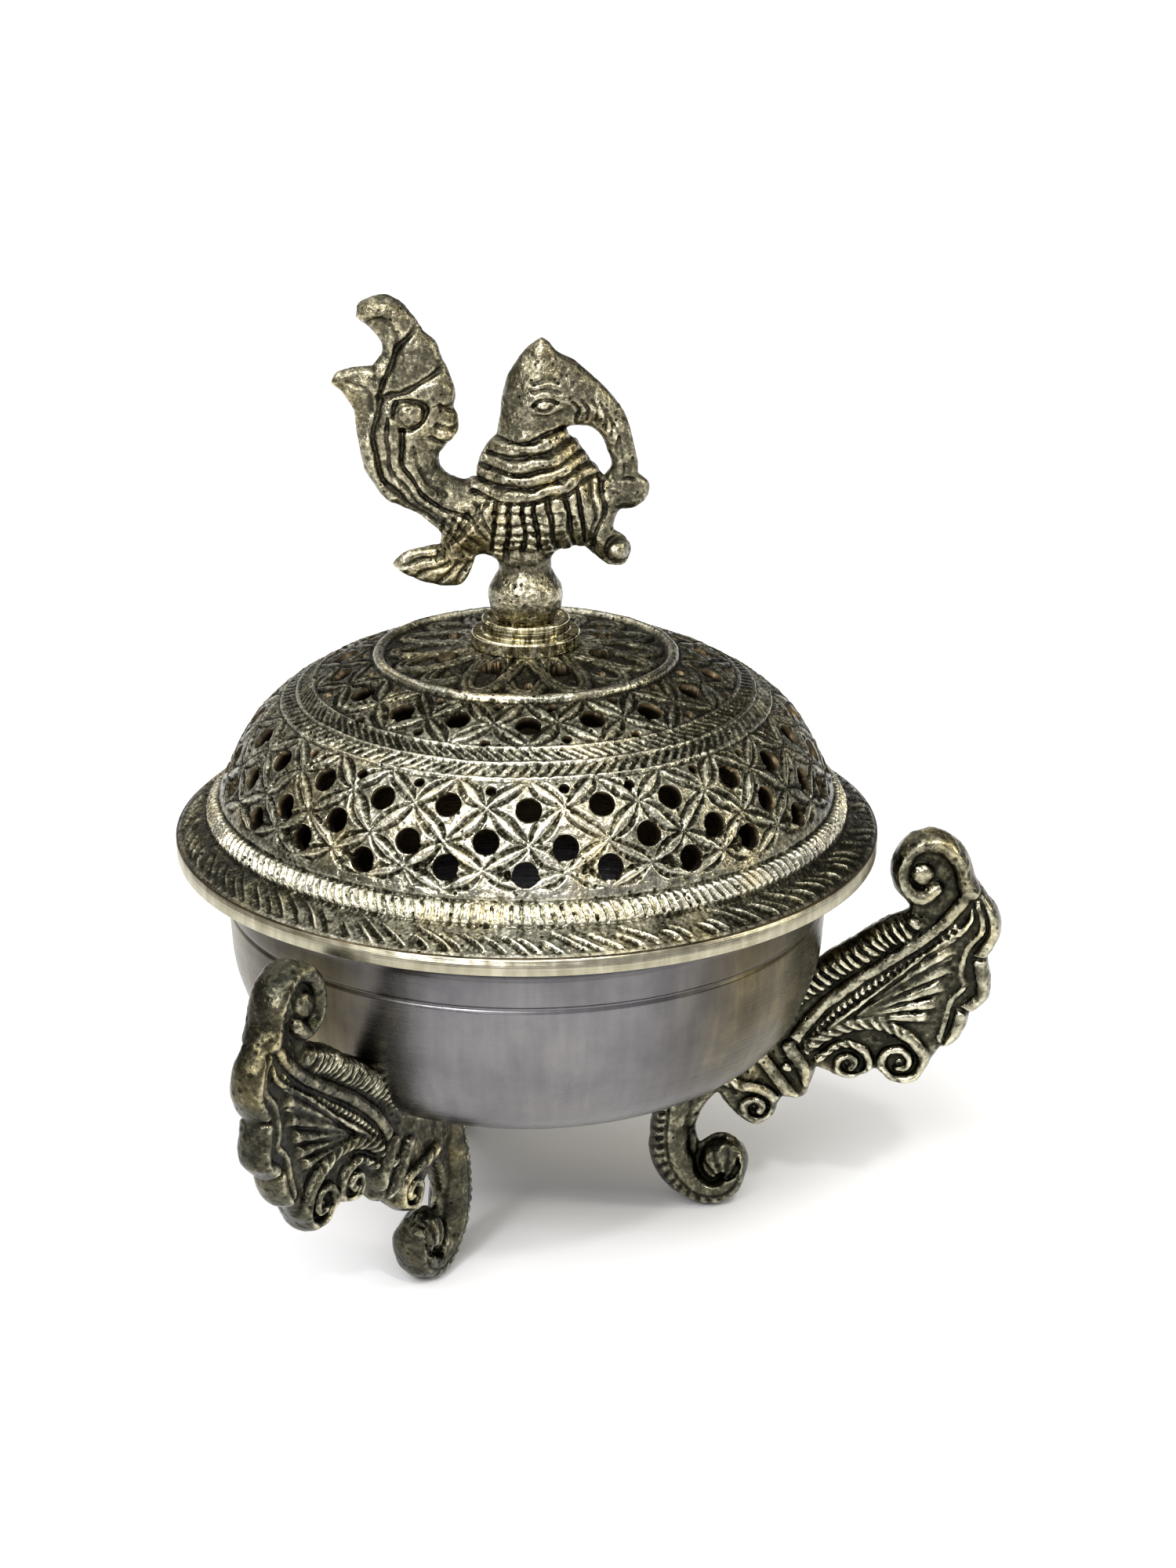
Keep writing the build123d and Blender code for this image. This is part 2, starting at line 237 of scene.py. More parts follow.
def make_object(name, verts, faces, relief=None, slots=None):
    """Smooth-shaded object from millimetre vertices and a list of face arrays, each with its material slot."""
    mesh = bpy.data.meshes.new(name)
    groups = faces if isinstance(faces, list) else [faces]
    groups = [np.asarray(g, np.int32) for g in groups]
    loops = np.concatenate([g.ravel() for g in groups])
    sizes = np.concatenate([np.full(len(g), g.shape[1], np.int32) for g in groups])
    slot_of = np.concatenate([np.full(len(g), k, np.int32) for g, k in zip(groups, slots or [0] * len(groups))])
    mesh.vertices.add(len(verts))
    mesh.vertices.foreach_set("co", (np.asarray(verts, np.float64) * MM).astype(np.float32).ravel())
    mesh.loops.add(len(loops))
    mesh.loops.foreach_set("vertex_index", loops)
    mesh.polygons.add(len(sizes))
    mesh.polygons.foreach_set("loop_start", np.concatenate([[0], np.cumsum(sizes)[:-1]]).astype(np.int32))
    mesh.polygons.foreach_set("use_smooth", np.ones(len(sizes), bool))
    mesh.polygons.foreach_set("material_index", slot_of)
    mesh.update(calc_edges=True)
    mesh.validate()
    if relief is not None:
        attribute = mesh.attributes.new("relief", "FLOAT", "POINT")
        attribute.data.foreach_set("value", np.asarray(relief, np.float32))
    if len(sizes) > 1:
        close_up(mesh)
    ob = bpy.data.objects.new(name, mesh)
    bpy.context.scene.collection.objects.link(ob)
    return ob


def vertex_normals(verts, quads):
    across = np.cross(verts[quads[:, 2]] - verts[quads[:, 0]], verts[quads[:, 3]] - verts[quads[:, 1]])
    normal = np.zeros((len(verts), 3))
    for k in range(4):
        for c in range(3):
            normal[:, c] += np.bincount(quads[:, k], across[:, c], minlength=len(verts))
    return normal / np.maximum(np.linalg.norm(normal, axis=1), 1e-9)[:, None]


def roughened(verts, quads, *layers):
    """Moves vertices along their normals by layers of (amplitude, size) unevenness."""
    shift = sum(amount * unevenness(verts, size, 40 + k) for k, (amount, size) in enumerate(layers))
    return verts + vertex_normals(verts, quads) * shift[:, None]


def height_over_surroundings(verts, quads, rounds):
    """How far each vertex stands out of its smoothed surroundings, along its normal."""
    edges = np.vstack([quads[:, [k, (k + 1) % 4]] for k in range(4)])
    degree = np.bincount(edges[:, 0], minlength=len(verts)) + np.bincount(edges[:, 1], minlength=len(verts))
    degree = np.maximum(degree, 1)
    smooth = verts.copy()
    for _ in range(rounds):
        pulled = np.zeros_like(smooth)
        for c in range(3):
            pulled[:, c] = np.bincount(edges[:, 0], smooth[edges[:, 1], c], minlength=len(verts))
            pulled[:, c] += np.bincount(edges[:, 1], smooth[edges[:, 0], c], minlength=len(verts))
        smooth = 0.4 * smooth + 0.6 * pulled / degree[:, None]
    return ((verts - smooth) * vertex_normals(verts, quads)).sum(1)


def revolve(name, profile, segments, relief=None):
    """Closed or open profile of (radius, height) points turned about the axis."""
    profile = np.array(profile, float)
    theta = np.arange(segments) * 2 * math.pi / segments
    rows = len(profile)
    radius = np.maximum(profile[:, :1], 1e-4)
    verts = np.stack(
        [radius * np.cos(theta), radius * np.sin(theta), np.repeat(profile[:, 1:], segments, 1)], -1
    ).reshape(-1, 3)
    grid = np.arange(rows * segments).reshape(rows, segments)
    a, b = grid[:-1], grid[1:]
    quads = np.stack([a, np.roll(a, -1, 1), np.roll(b, -1, 1), b], -1).reshape(-1, 4)
    values = None if relief is None else np.repeat(np.asarray(relief, float), segments)
    return make_object(name, verts, quads, values)


def crisp(corners, support=0.25):
    """Adds a point close to each side of every corner, so that smooth shading keeps the corner."""
    p = np.array(corners, float)
    out = [p[0]]
    for before, here, after in zip(p[:-2], p[1:-1], p[2:]):
        for target in (before, after):
            d = target - here
            length = math.hypot(*d)
            reach = min(support, 0.4 * length)
            point = here + d * reach / length
            out.append(point)
            if target is before:
                out.append(here + d * min(0.06, 0.2 * length) / length)
            else:
                out.insert(-1, here + d * min(0.06, 0.2 * length) / length)
    out.append(p[-1])
    return np.array(out)


def zip_rings(ring_a, angle_a, ring_b, angle_b):
    """Triangles between two closed rings of vertex numbers, matched by their angles."""
    start = np.argmin(np.abs(np.angle(np.exp(1j * (angle_b - angle_a[0])))))
    ring_b = np.roll(ring_b, -start)
    angle_b = np.roll(angle_b, -start)
    na, nb = len(ring_a), len(ring_b)
    base = angle_a[0]
    turn_a = np.append(np.mod(angle_a - base + 1e-9, 2 * math.pi), 2 * math.pi)
    turn_b = np.mod(angle_b - base + math.pi, 2 * math.pi) - math.pi
    turn_b = np.unwrap(turn_b)
    turn_b = np.append(turn_b, turn_b[0] + 2 * math.pi)
    triangles = []
    i = j = 0
    while i < na or j < nb:
        if j >= nb or (i < na and turn_a[i + 1] <= turn_b[j + 1]):
            triangles.append((ring_a[i % na], ring_a[(i + 1) % na], ring_b[j % nb]))
            i += 1
        else:
            triangles.append((ring_a[i % na], ring_b[(j + 1) % nb], ring_b[j % nb]))
            j += 1
    return np.array(triangles)


# ---------------------------------------------------------------- bird finial


BIRD_OUTLINE = [
    [(-29.4, 142.2), (-28.6, 144.6), (-24.1, 145.8), (-20.6, 143.6), (-17.6, 139.4)],
    [(-17.6, 139.4), (-15.4, 137.2), (-14.2, 134.0), (-12.8, 131.2), (-12.2, 128.4), (-12.5, 125.8)],
    [(-12.5, 125.8), (-11.7, 124.2), (-11.8, 121.7), (-13.8, 119.5), (-15.2, 117.9)],
    [(-15.2, 117.9), (-15.0, 115.4), (-13.5, 113.8), (-11.1, 112.9), (-8.6, 113.4)],
    [(-8.6, 113.4), (-8.2, 116.4), (-6.9, 119.2), (-5.0, 121.2)],
    [(-5.0, 121.2), (-4.4, 124.6), (-3.6, 129.8), (-2.0, 133.4), (0.6, 136.6), (2.9, 138.2)],
    [(2.9, 138.2), (4.4, 137.2), (6.0, 135.5), (9.2, 133.8), (14.6, 128.9), (18.2, 123.6), (19.9, 117.0), (20.3, 113.8)],
    [(20.3, 113.8), (22.1, 112.0), (21.9, 109.6), (19.8, 107.8), (16.9, 107.2)],
    [(16.9, 107.2), (15.9, 105.2), (16.0, 103.6), (18.0, 102.2), (19.0, 100.0), (18.0, 97.6), (15.4, 97.1), (13.3, 98.2)],
    [(13.3, 98.2), (11.4, 99.9), (9.9, 100.8), (7.0, 100.4), (4.6, 98.8), (3.6, 96.4)],
    [(3.6, 96.4), (0.0, 95.6), (-4.2, 96.2)],
    [(-4.2, 96.2), (-5.2, 98.0), (-7.4, 99.2), (-8.8, 98.9)],
    [(-8.8, 98.9), (-9.6, 96.6), (-10.8, 94.3), (-12.4, 93.3), (-15.6, 93.4), (-20.0, 94.6), (-24.1, 97.2)],
    [(-24.1, 97.2), (-21.8, 99.5), (-18.2, 100.5), (-15.2, 101.0)],
    [(-15.2, 101.0), (-15.4, 103.4), (-18.4, 106.2), (-23.0, 108.6), (-26.6, 111.9), (-28.6, 115.6), (-29.8, 120.8)],
    [(-29.8, 120.8), (-30.1, 125.0), (-31.4, 127.8), (-34.1, 130.4)],
    [(-34.1, 130.4), (-33.0, 132.2), (-30.2, 133.1), (-26.8, 133.4)],
    [(-26.8, 133.4), (-25.0, 135.8), (-25.4, 138.2), (-29.4, 142.2)],
]
BEAK_GAP = [
    [(6.5, 122.4), (9.8, 122.7), (12.6, 121.7), (14.6, 118.4), (15.4, 115.6), (14.1, 113.5)],
    [(14.1, 113.5), (12.6, 115.1), (9.8, 119.0), (6.5, 122.4)],
]
# distance across, height, half thickness
BIRD_THICKNESS = [
    (-26, 142, 2.9), (-28, 130, 2.4), (-18, 132, 3.2), (-22, 120, 3.4), (-20, 110, 4.2), (-11, 107, 5.2),
    (-12, 116, 3.4), (2, 106, 6.4), (2, 116, 5.8), (9, 106, 5.8), (1, 127, 5.2), (3, 136, 3.4), (10, 129, 4.2),
    (16, 122, 2.9), (18, 114, 2.6), (20, 110, 3.3), (14, 104, 3.8), (17, 99, 3.3), (-15, 97, 2.3), (-22, 97, 1.8),
    (0, 98, 4.6),
]


def bird_relief(x, z):
    """Chased lines, raised rings and feathers on the bird's two faces."""
    place = np.stack([x, z], -1)
    x = x + 0.2 * unevenness(place, 8.0, 31)
    z = z + 0.2 * unevenness(place, 7.0, 32)
    relief = np.zeros(x.shape)
    # overlapping rings round the neck, and the smooth bands of the head and the breast
    rings = [
        [(-5.1, 120.7), (-1.0, 120.5), (2.9, 121.4), (7.2, 123.1)],
        [(-6.6, 118.3), (-1.3, 117.6), (3.0, 118.3), (8.4, 120.3)],
        [(-8.0, 116.0), (-2.0, 114.8), (3.3, 115.5), (10.4, 118.2)],
        [(-8.9, 113.7), (-3.5, 112.4), (3.4, 113.1), (12.2, 116.1)],
        [(-9.2, 111.4), (-2.8, 110.0), (4.6, 110.7), (13.4, 114.3)],
    ]
    for line in rings:
        relief += groove(x, z, line, 0.38, 0.72)
    for line in rings[:-1]:
        middle = [(u, w - 1.15) for u, w in line]
        dist = path_distance(x, z, smooth_run(middle))[0]
        relief += 0.55 * crest(dist, 1.15)
    # feathers hanging from the lowest ring
    feathers = [
        [(-5.0, 109.8), (-5.3, 105.1), (-6.2, 100.4)],
        [(-2.9, 109.6), (-3.0, 104.8), (-3.4, 99.6)],
        [(-0.6, 109.4), (-0.5, 104.4), (-0.4, 98.4)],
        [(1.8, 109.6), (2.2, 104.8), (2.6, 99.8)],
        [(4.2, 110.1), (4.9, 105.4), (5.6, 101.0)],
        [(6.7, 110.9), (7.6, 106.6), (8.6, 101.6)],
        [(9.0, 111.8), (10.2, 107.4), (10.8, 101.8)],
        [(11.4, 113.0), (12.5, 108.2), (11.9, 102.0)],
    ]
    for line in feathers:
        relief += groove(x, z, line, 0.34, 0.8)
    for left, right in zip(feathers[:-1], feathers[1:]):
        middle = [(0.5 * (a[0] + b[0]), 0.5 * (a[1] + b[1]) - 0.3) for a, b in zip(left, right)]
        relief += 0.42 * crest(path_distance(x, z, smooth_run(middle))[0], 1.05)
    for number, level in enumerate((107.7, 105.9, 104.2, 102.4, 100.8)):
        for k in range(5):
            start = -5.4 + 2.35 * k
            drop = 0.22 * math.sin(2.1 * k + 1.7 * number)
            depth = 0.5 if k < 3 else 0.3
            relief += groove(x, z, [(start, level + drop), (start + 2.2, level + drop - 0.15)], 0.27, depth)
    # scales between the body and the tail
    for k in range(5):
        relief += groove(x, z, [(-6.0 - 2.1 * k, 110.4 - 1.1 * k), (-12.2 - 0.9 * k, 102.4 - 1.0 * k)][::-1], 0.29, 0.5)
    for k in range(4):
        relief += groove(x, z, [(-15.4 + 2.2 * k, 106.0 + 1.1 * k), (-9.9 + 1.4 * k, 99.6 + 1.4 * k)], 0.29, 0.5)
    lines = [
        # tail plumes
        ([(-19.3, 140.6), (-22.5, 135.6), (-25.4, 128.8), (-26.6, 122.4), (-25.9, 116.0), (-22.4, 110.4), (-16.2, 105.8)],
         0.66, 1.25),
        ([(-25.4, 127.6), (-21.7, 129.0), (-17.8, 131.0), (-14.4, 133.4)], 0.55, 1.2),
        ([(-23.3, 124.6), (-22.4, 127.2), (-20.0, 128.0), (-18.0, 126.6), (-17.9, 124.2), (-19.8, 122.9), (-21.8, 122.4)],
         0.5, 1.15),
        ([(-21.8, 122.4), (-22.0, 118.1), (-20.4, 113.6), (-16.4, 109.6), (-10.4, 106.8)], 0.55, 1.35),
        ([(-24.3, 124.4), (-24.1, 118.1), (-22.4, 113.2), (-18.6, 108.8), (-13.6, 105.6)], 0.4, 0.85),
        ([(-19.9, 119.4), (-18.2, 114.6), (-14.0, 110.6)], 0.4, 0.7),
        ([(-15.2, 123.4), (-12.9, 122.4), (-11.4, 123.2)], 0.5, 0.95),
        ([(-16.4, 121.0), (-14.6, 120.0), (-13.0, 119.4)], 0.45, 0.7),
        ([(-15.4, 126.6), (-13.6, 125.4), (-12.2, 125.6)], 0.42, 0.8),
        ([(-28.4, 141.0), (-25.0, 142.0), (-22.2, 139.6), (-22.4, 136.4)], 0.45, 0.6),
        ([(-30.6, 130.8), (-27.8, 129.2), (-27.2, 125.4)], 0.45, 0.75),
        # breast column and its knob
        ([(13.2, 113.2), (13.9, 107.6), (12.6, 101.6), (11.4, 100.4)], 0.5, 1.2),
        # eye with its lids, brow lines, beak wrinkles and jaw
        ([(1.3, 127.3), (2.6, 128.4), (4.4, 128.3), (6.0, 127.1)], 0.36, 0.85),
        ([(1.3, 127.3), (2.6, 126.5), (4.4, 126.2), (6.0, 127.1)], 0.34, 0.75),
        ([(1.2, 129.5), (3.6, 130.2), (6.4, 129.0)], 0.38, 0.7),
        ([(1.5, 131.0), (3.8, 131.6), (6.0, 130.7)], 0.36, 0.6),
        ([(1.4, 125.6), (3.8, 124.9), (6.4, 125.3)], 0.34, 0.5),
        ([(7.2, 128.0), (8.6, 128.6)], 0.34, 0.5),
        ([(8.2, 127.6), (9.4, 126.0), (9.2, 123.9)], 0.32, 0.8),
        ([(9.8, 128.2), (11.0, 126.4), (10.9, 124.0)], 0.32, 0.8),
        ([(11.4, 128.0), (12.6, 126.0), (12.4, 123.6)], 0.32, 0.8),
        ([(13.0, 127.0), (14.2, 124.8), (13.9, 122.4)], 0.32, 0.75),
        ([(14.4, 125.4), (15.5, 123.0), (15.2, 120.8)], 0.32, 0.7),
        ([(15.6, 123.2), (16.6, 120.8), (16.2, 118.6)], 0.32, 0.6),
        ([(16.6, 120.6), (17.5, 117.0), (17.7, 113.6)], 0.32, 0.5),
        ([(17.4, 112.9), (19.6, 112.6)], 0.36, 0.7),
        # fin
        ([(-14.8, 99.3), (-23.2, 97.2)], 0.45, 0.85),
        ([(-13.4, 98.3), (-20.3, 94.8)], 0.45, 0.85),
        ([(-11.8, 98.0), (-16.3, 93.5)], 0.45, 0.85),
        ([(-10.3, 98.2), (-12.6, 93.3)], 0.45, 0.8),
    ]
    for points, width, depth in lines:
        relief += groove(x, z, points, 0.82 * width, 0.74 * depth)
    relief = np.maximum(relief, -1.6)
    relief += knob(x, z, (16.6, 100.2), 1.9, 1.1) + ring_groove(x, z, (16.6, 100.2), 2.3, 0.4, 0.7)
    relief += knob(x, z, (3.7, 127.3), 0.95, 0.22)
    relief += knob(x, z, (-19.9, 125.2), 2.0, 0.9)
    relief += knob(x, z, (-15.2, 128.6), 2.6, 0.6) + knob(x, z, (-14.0, 121.4), 1.5, 0.5)
    relief += ridge(x, z, [(-27.6, 120.6), (-27.3, 115.0), (-23.6, 109.6)], 1.1, 0.5)
    relief += ridge(x, z, [(-26.6, 143.9), (-22.6, 142.0), (-19.0, 137.6)], 1.2, 0.55)
    relief += ridge(x, z, [(0.2, 122.2), (4.0, 122.6), (9.0, 124.0)], 0.7, 0.45)
    return relief + 0.07 * unevenness(place, 6.0, 33)


def ball_radius(z):
    """Radius of the turned ball and neck under the bird."""
    heights = [BALL_SEAT, 88.4, 90.0, 91.6, 93.2, 94.8, 96.4, 98.2, 101.0]
    radii = [5.0, 6.1, 6.6, 6.75, 6.6, 5.7, 4.6, 4.25, 4.6]
    return np.interp(z, heights, radii)


def make_bird():
    step = 0.27
    low = np.array([-35.6, -7.6, BALL_SEAT - 1.5])
    high = np.array([24.0, 7.6, 147.4])
    axes = [np.arange(low[k], high[k] + step, step) for k in range(3)]
    x, z = np.meshgrid(axes[0], axes[2], indexing="ij")
    flat = outline_distance(x, z, smooth_loop(BIRD_OUTLINE))
    flat = np.maximum(flat, -outline_distance(x, z, smooth_loop(BEAK_GAP)))
    half = blended(x, z, BIRD_THICKNESS, 4.5)
    half = half * (0.66 + 0.34 * smoothstep(0.3, 6.0, -flat))
    relief = bird_relief(x, z)
    rounding = np.clip(half * 0.92, 0.8, 4.6)
    field = np.empty((len(axes[0]), len(axes[1]), len(axes[2])), np.float32)
    for j, y in enumerate(axes[1]):
        q0 = flat + rounding
        q1 = abs(y) - (half - rounding)
        body = np.minimum(np.maximum(q0, q1), 0) + np.hypot(np.maximum(q0, 0), np.maximum(q1, 0)) - rounding
        body = body - relief * float(smoothstep(0.0, 1.6, abs(y)))
        ball = (np.hypot(x, y) - ball_radius(z)) * 0.93
        ball = np.maximum(ball, z - 100.5)
        field[:, j, :] = np.maximum(smooth_union(body, ball, 1.4), BALL_SEAT - z)
    verts, quads = surface_nets(field, low, step)
    seat = verts[:, 2] < BALL_SEAT + 0.1
    level = verts[seat, 2]
    verts = roughened(verts, quads, (0.05, 4.0), (0.018, 1.1))
    verts[seat, 2] = level
    height = height_over_surroundings(verts, quads, 22)
    return make_object("bird_casting", verts, quads, np.clip(height / 0.4, -1, 1))


# ---------------------------------------------------------------- legs


# smooth runs that meet at corners: distance from the axis, height
LEG_FOOT = [
    [(28.5, 5.0), (26.4, -3.0), (24.4, -9.6), (23.6, -16.5), (23.7, -21.2), (25.4, -25.6), (28.9, -29.1), (33.8, -31.4),
     (38.4, -30.6), (41.4, -28.0), (42.9, -22.8), (42.4, -20.2), (41.2, -18.2), (39.6, -16.8), (37.5, -16.2),
     (35.0, -17.2), (33.2, -18.6)],
    [(33.2, -18.6), (32.6, -15.5), (33.2, -12.4), (34.6, -9.6), (36.6, -7.2)],
]
LEG_VOLUTES = [
    [(36.6, -7.2), (38.9, -10.4), (41.3, -12.6), (43.6, -13.7), (45.8, -12.9), (47.6, -11.2), (48.4, -8.6)],
    [(48.4, -8.6), (50.2, -7.3), (52.1, -7.9), (53.7, -6.9), (54.3, -4.6), (55.4, -1.2)],
    [(55.4, -1.2), (57.1, -1.9), (59.8, -3.2), (62.1, -3.3), (64.0, -2.5), (66.5, -1.4)],
    [(66.5, -1.4), (67.8, -2.2), (69.2, -3.6), (72.2, -4.1), (74.4, -3.4), (76.1, -0.9), (78.6, 3.5)],
]
LEG_LOBES = [
    [(78.6, 3.5), (80.3, 4.0), (82.0, 5.4), (83.3, 8.2), (83.8, 10.7)],
    [(83.8, 10.7), (85.8, 12.4), (87.4, 14.4), (87.6, 17.3), (87.1, 20.2), (86.7, 22.5)],
    [(86.7, 22.5), (87.8, 24.6), (88.8, 27.0), (88.8, 29.9), (87.9, 32.5), (86.0, 34.9), (84.5, 37.2)],
]
LEG_CURL = [
    [(84.5, 37.2), (83.4, 38.8), (82.5, 41.9), (80.9, 44.5), (78.2, 46.8), (74.6, 47.6), (71.0, 46.3), (68.7, 43.6),
     (67.7, 40.3), (68.2, 36.8), (70.1, 34.0), (71.6, 32.5)],
]
LEG_EDGE = [
    [(71.6, 32.5), (71.2, 31.3), (68.8, 30.2), (65.2, 28.3), (61.7, 25.5), (58.1, 23.3), (54.5, 20.5), (50.0, 17.2),
     (44.0, 12.0)],
]
LEG_ROOT = [[(44.0, 12.0), (36.0, 8.0), (28.5, 5.0)]]
RIM_LINE = [(82.6, 39.5), (82.5, 36.4), (80.6, 33.2), (76.9, 28.6), (72.0, 24.5), (66.3, 20.5), (60.6, 16.3),
            (55.5, 11.6), (51.7, 6.5), (49.9, 2.4)]
SECOND_LINE = [(83.7, 33.2), (82.8, 30.0), (79.9, 26.8), (74.3, 22.6), (67.9, 16.8), (62.9, 12.6), (57.9, 8.4),
               (54.3, 4.1)]
BORDER_LINE = [(83.9, 34.0), (85.2, 28.5), (82.5, 24.4), (81.7, 19.6), (82.3, 16.8), (80.1, 13.9), (79.0, 8.9),
               (78.0, 5.3)]
FAN_ROOT = (61.0, 9.0)
FAN_TIPS = [(80.6, 24.9), (79.9, 21.2), (79.2, 17.3), (78.3, 13.6), (76.8, 10.4)]
UPPER_SCROLL = [(54.3, 4.6), (57.9, 7.0), (63.1, 8.8), (68.3, 8.3), (72.8, 5.8), (75.4, 2.2), (74.9, -1.3), (72.2, -2.7),
                (69.2, -2.2), (67.5, 0.2), (68.4, 2.9), (71.0, 3.6), (72.7, 1.9), (72.2, -0.1), (70.6, -0.2)]
LOWER_SCROLL = [(55.6, 1.4), (58.4, 3.9), (61.6, 4.4), (64.3, 3.0), (65.3, 0.2), (63.9, -2.0), (61.2, -2.3),
                (59.3, -0.8), (59.5, 1.2), (61.2, 2.0), (62.6, 0.9), (61.8, -0.5)]
SMALL_SCROLL = [(37.6, -3.2), (41.2, -4.6), (45.0, -5.4), (47.4, -7.6), (47.1, -10.8), (44.6, -12.3), (42.2, -11.2),
                (41.8, -8.8), (43.6, -7.6), (45.3, -8.6), (44.8, -10.0)]
FOOT_LINE = [(31.0, 4.0), (29.0, -3.0), (27.8, -10.0), (27.4, -17.0), (28.6, -22.6), (32.2, -27.0), (36.6, -28.0),
             (39.9, -25.8), (40.5, -22.0)]
BALL_LINE = [(37.6, -16.3), (34.9, -17.7), (33.4, -20.3), (33.1, -22.9), (33.9, -24.6), (35.5, -25.8), (37.0, -25.3),
             (37.7, -24.0)]
BALL_CENTRE = (37.7, -21.6)
CURL_TUBE = [(82.6, 36.4), (81.6, 40.2), (79.7, 43.5), (77.0, 45.4), (73.8, 45.6), (71.1, 44.0), (69.6, 41.2),
             (69.7, 38.1), (71.3, 35.6), (74.0, 34.8), (76.2, 36.6)]
CURL_BALL = (73.6, 39.3)
# distance from the axis, height, half thickness of the plate under the ornament
LEG_PLATE = [
    (75, 39, 1.7), (84, 30, 2.1), (85, 16, 2.1), (80, 7, 2.1), (76, 20, 1.9), (70, 15, 1.9), (66, 24, 2.2), (58, 17, 2.3),
    (50, 10, 2.6), (66, 3, 2.1), (74, 0, 2.1), (60, -1, 2.2), (52, -3, 3.0), (44, -8, 2.2), (40, -3, 3.1), (34, 0, 3.3),
    (30, -8, 2.2), (27, -20, 1.4), (34, -29, 1.4), (37, -21, 1.4), (42, -24, 1.4),
]


def scroll(r, z, points, widths, height, pitch, hatched):
    """Rounded stem that narrows along its path, with slanted leaf strokes on its first part."""
    dist, along, side = path_distance(r, z, smooth_run(points, 6))
    share = along / along.max()
    half_width = widths[0] + (widths[1] - widths[0]) * share
    strokes = np.abs(np.cos(math.pi * (along + 0.9 * dist * side) / pitch)) ** 0.8
    strokes = 1 - 0.42 * (1 - strokes) * (1 - smoothstep(hatched, hatched + 2.0, along))
    return height * crest(dist, half_width) * strokes


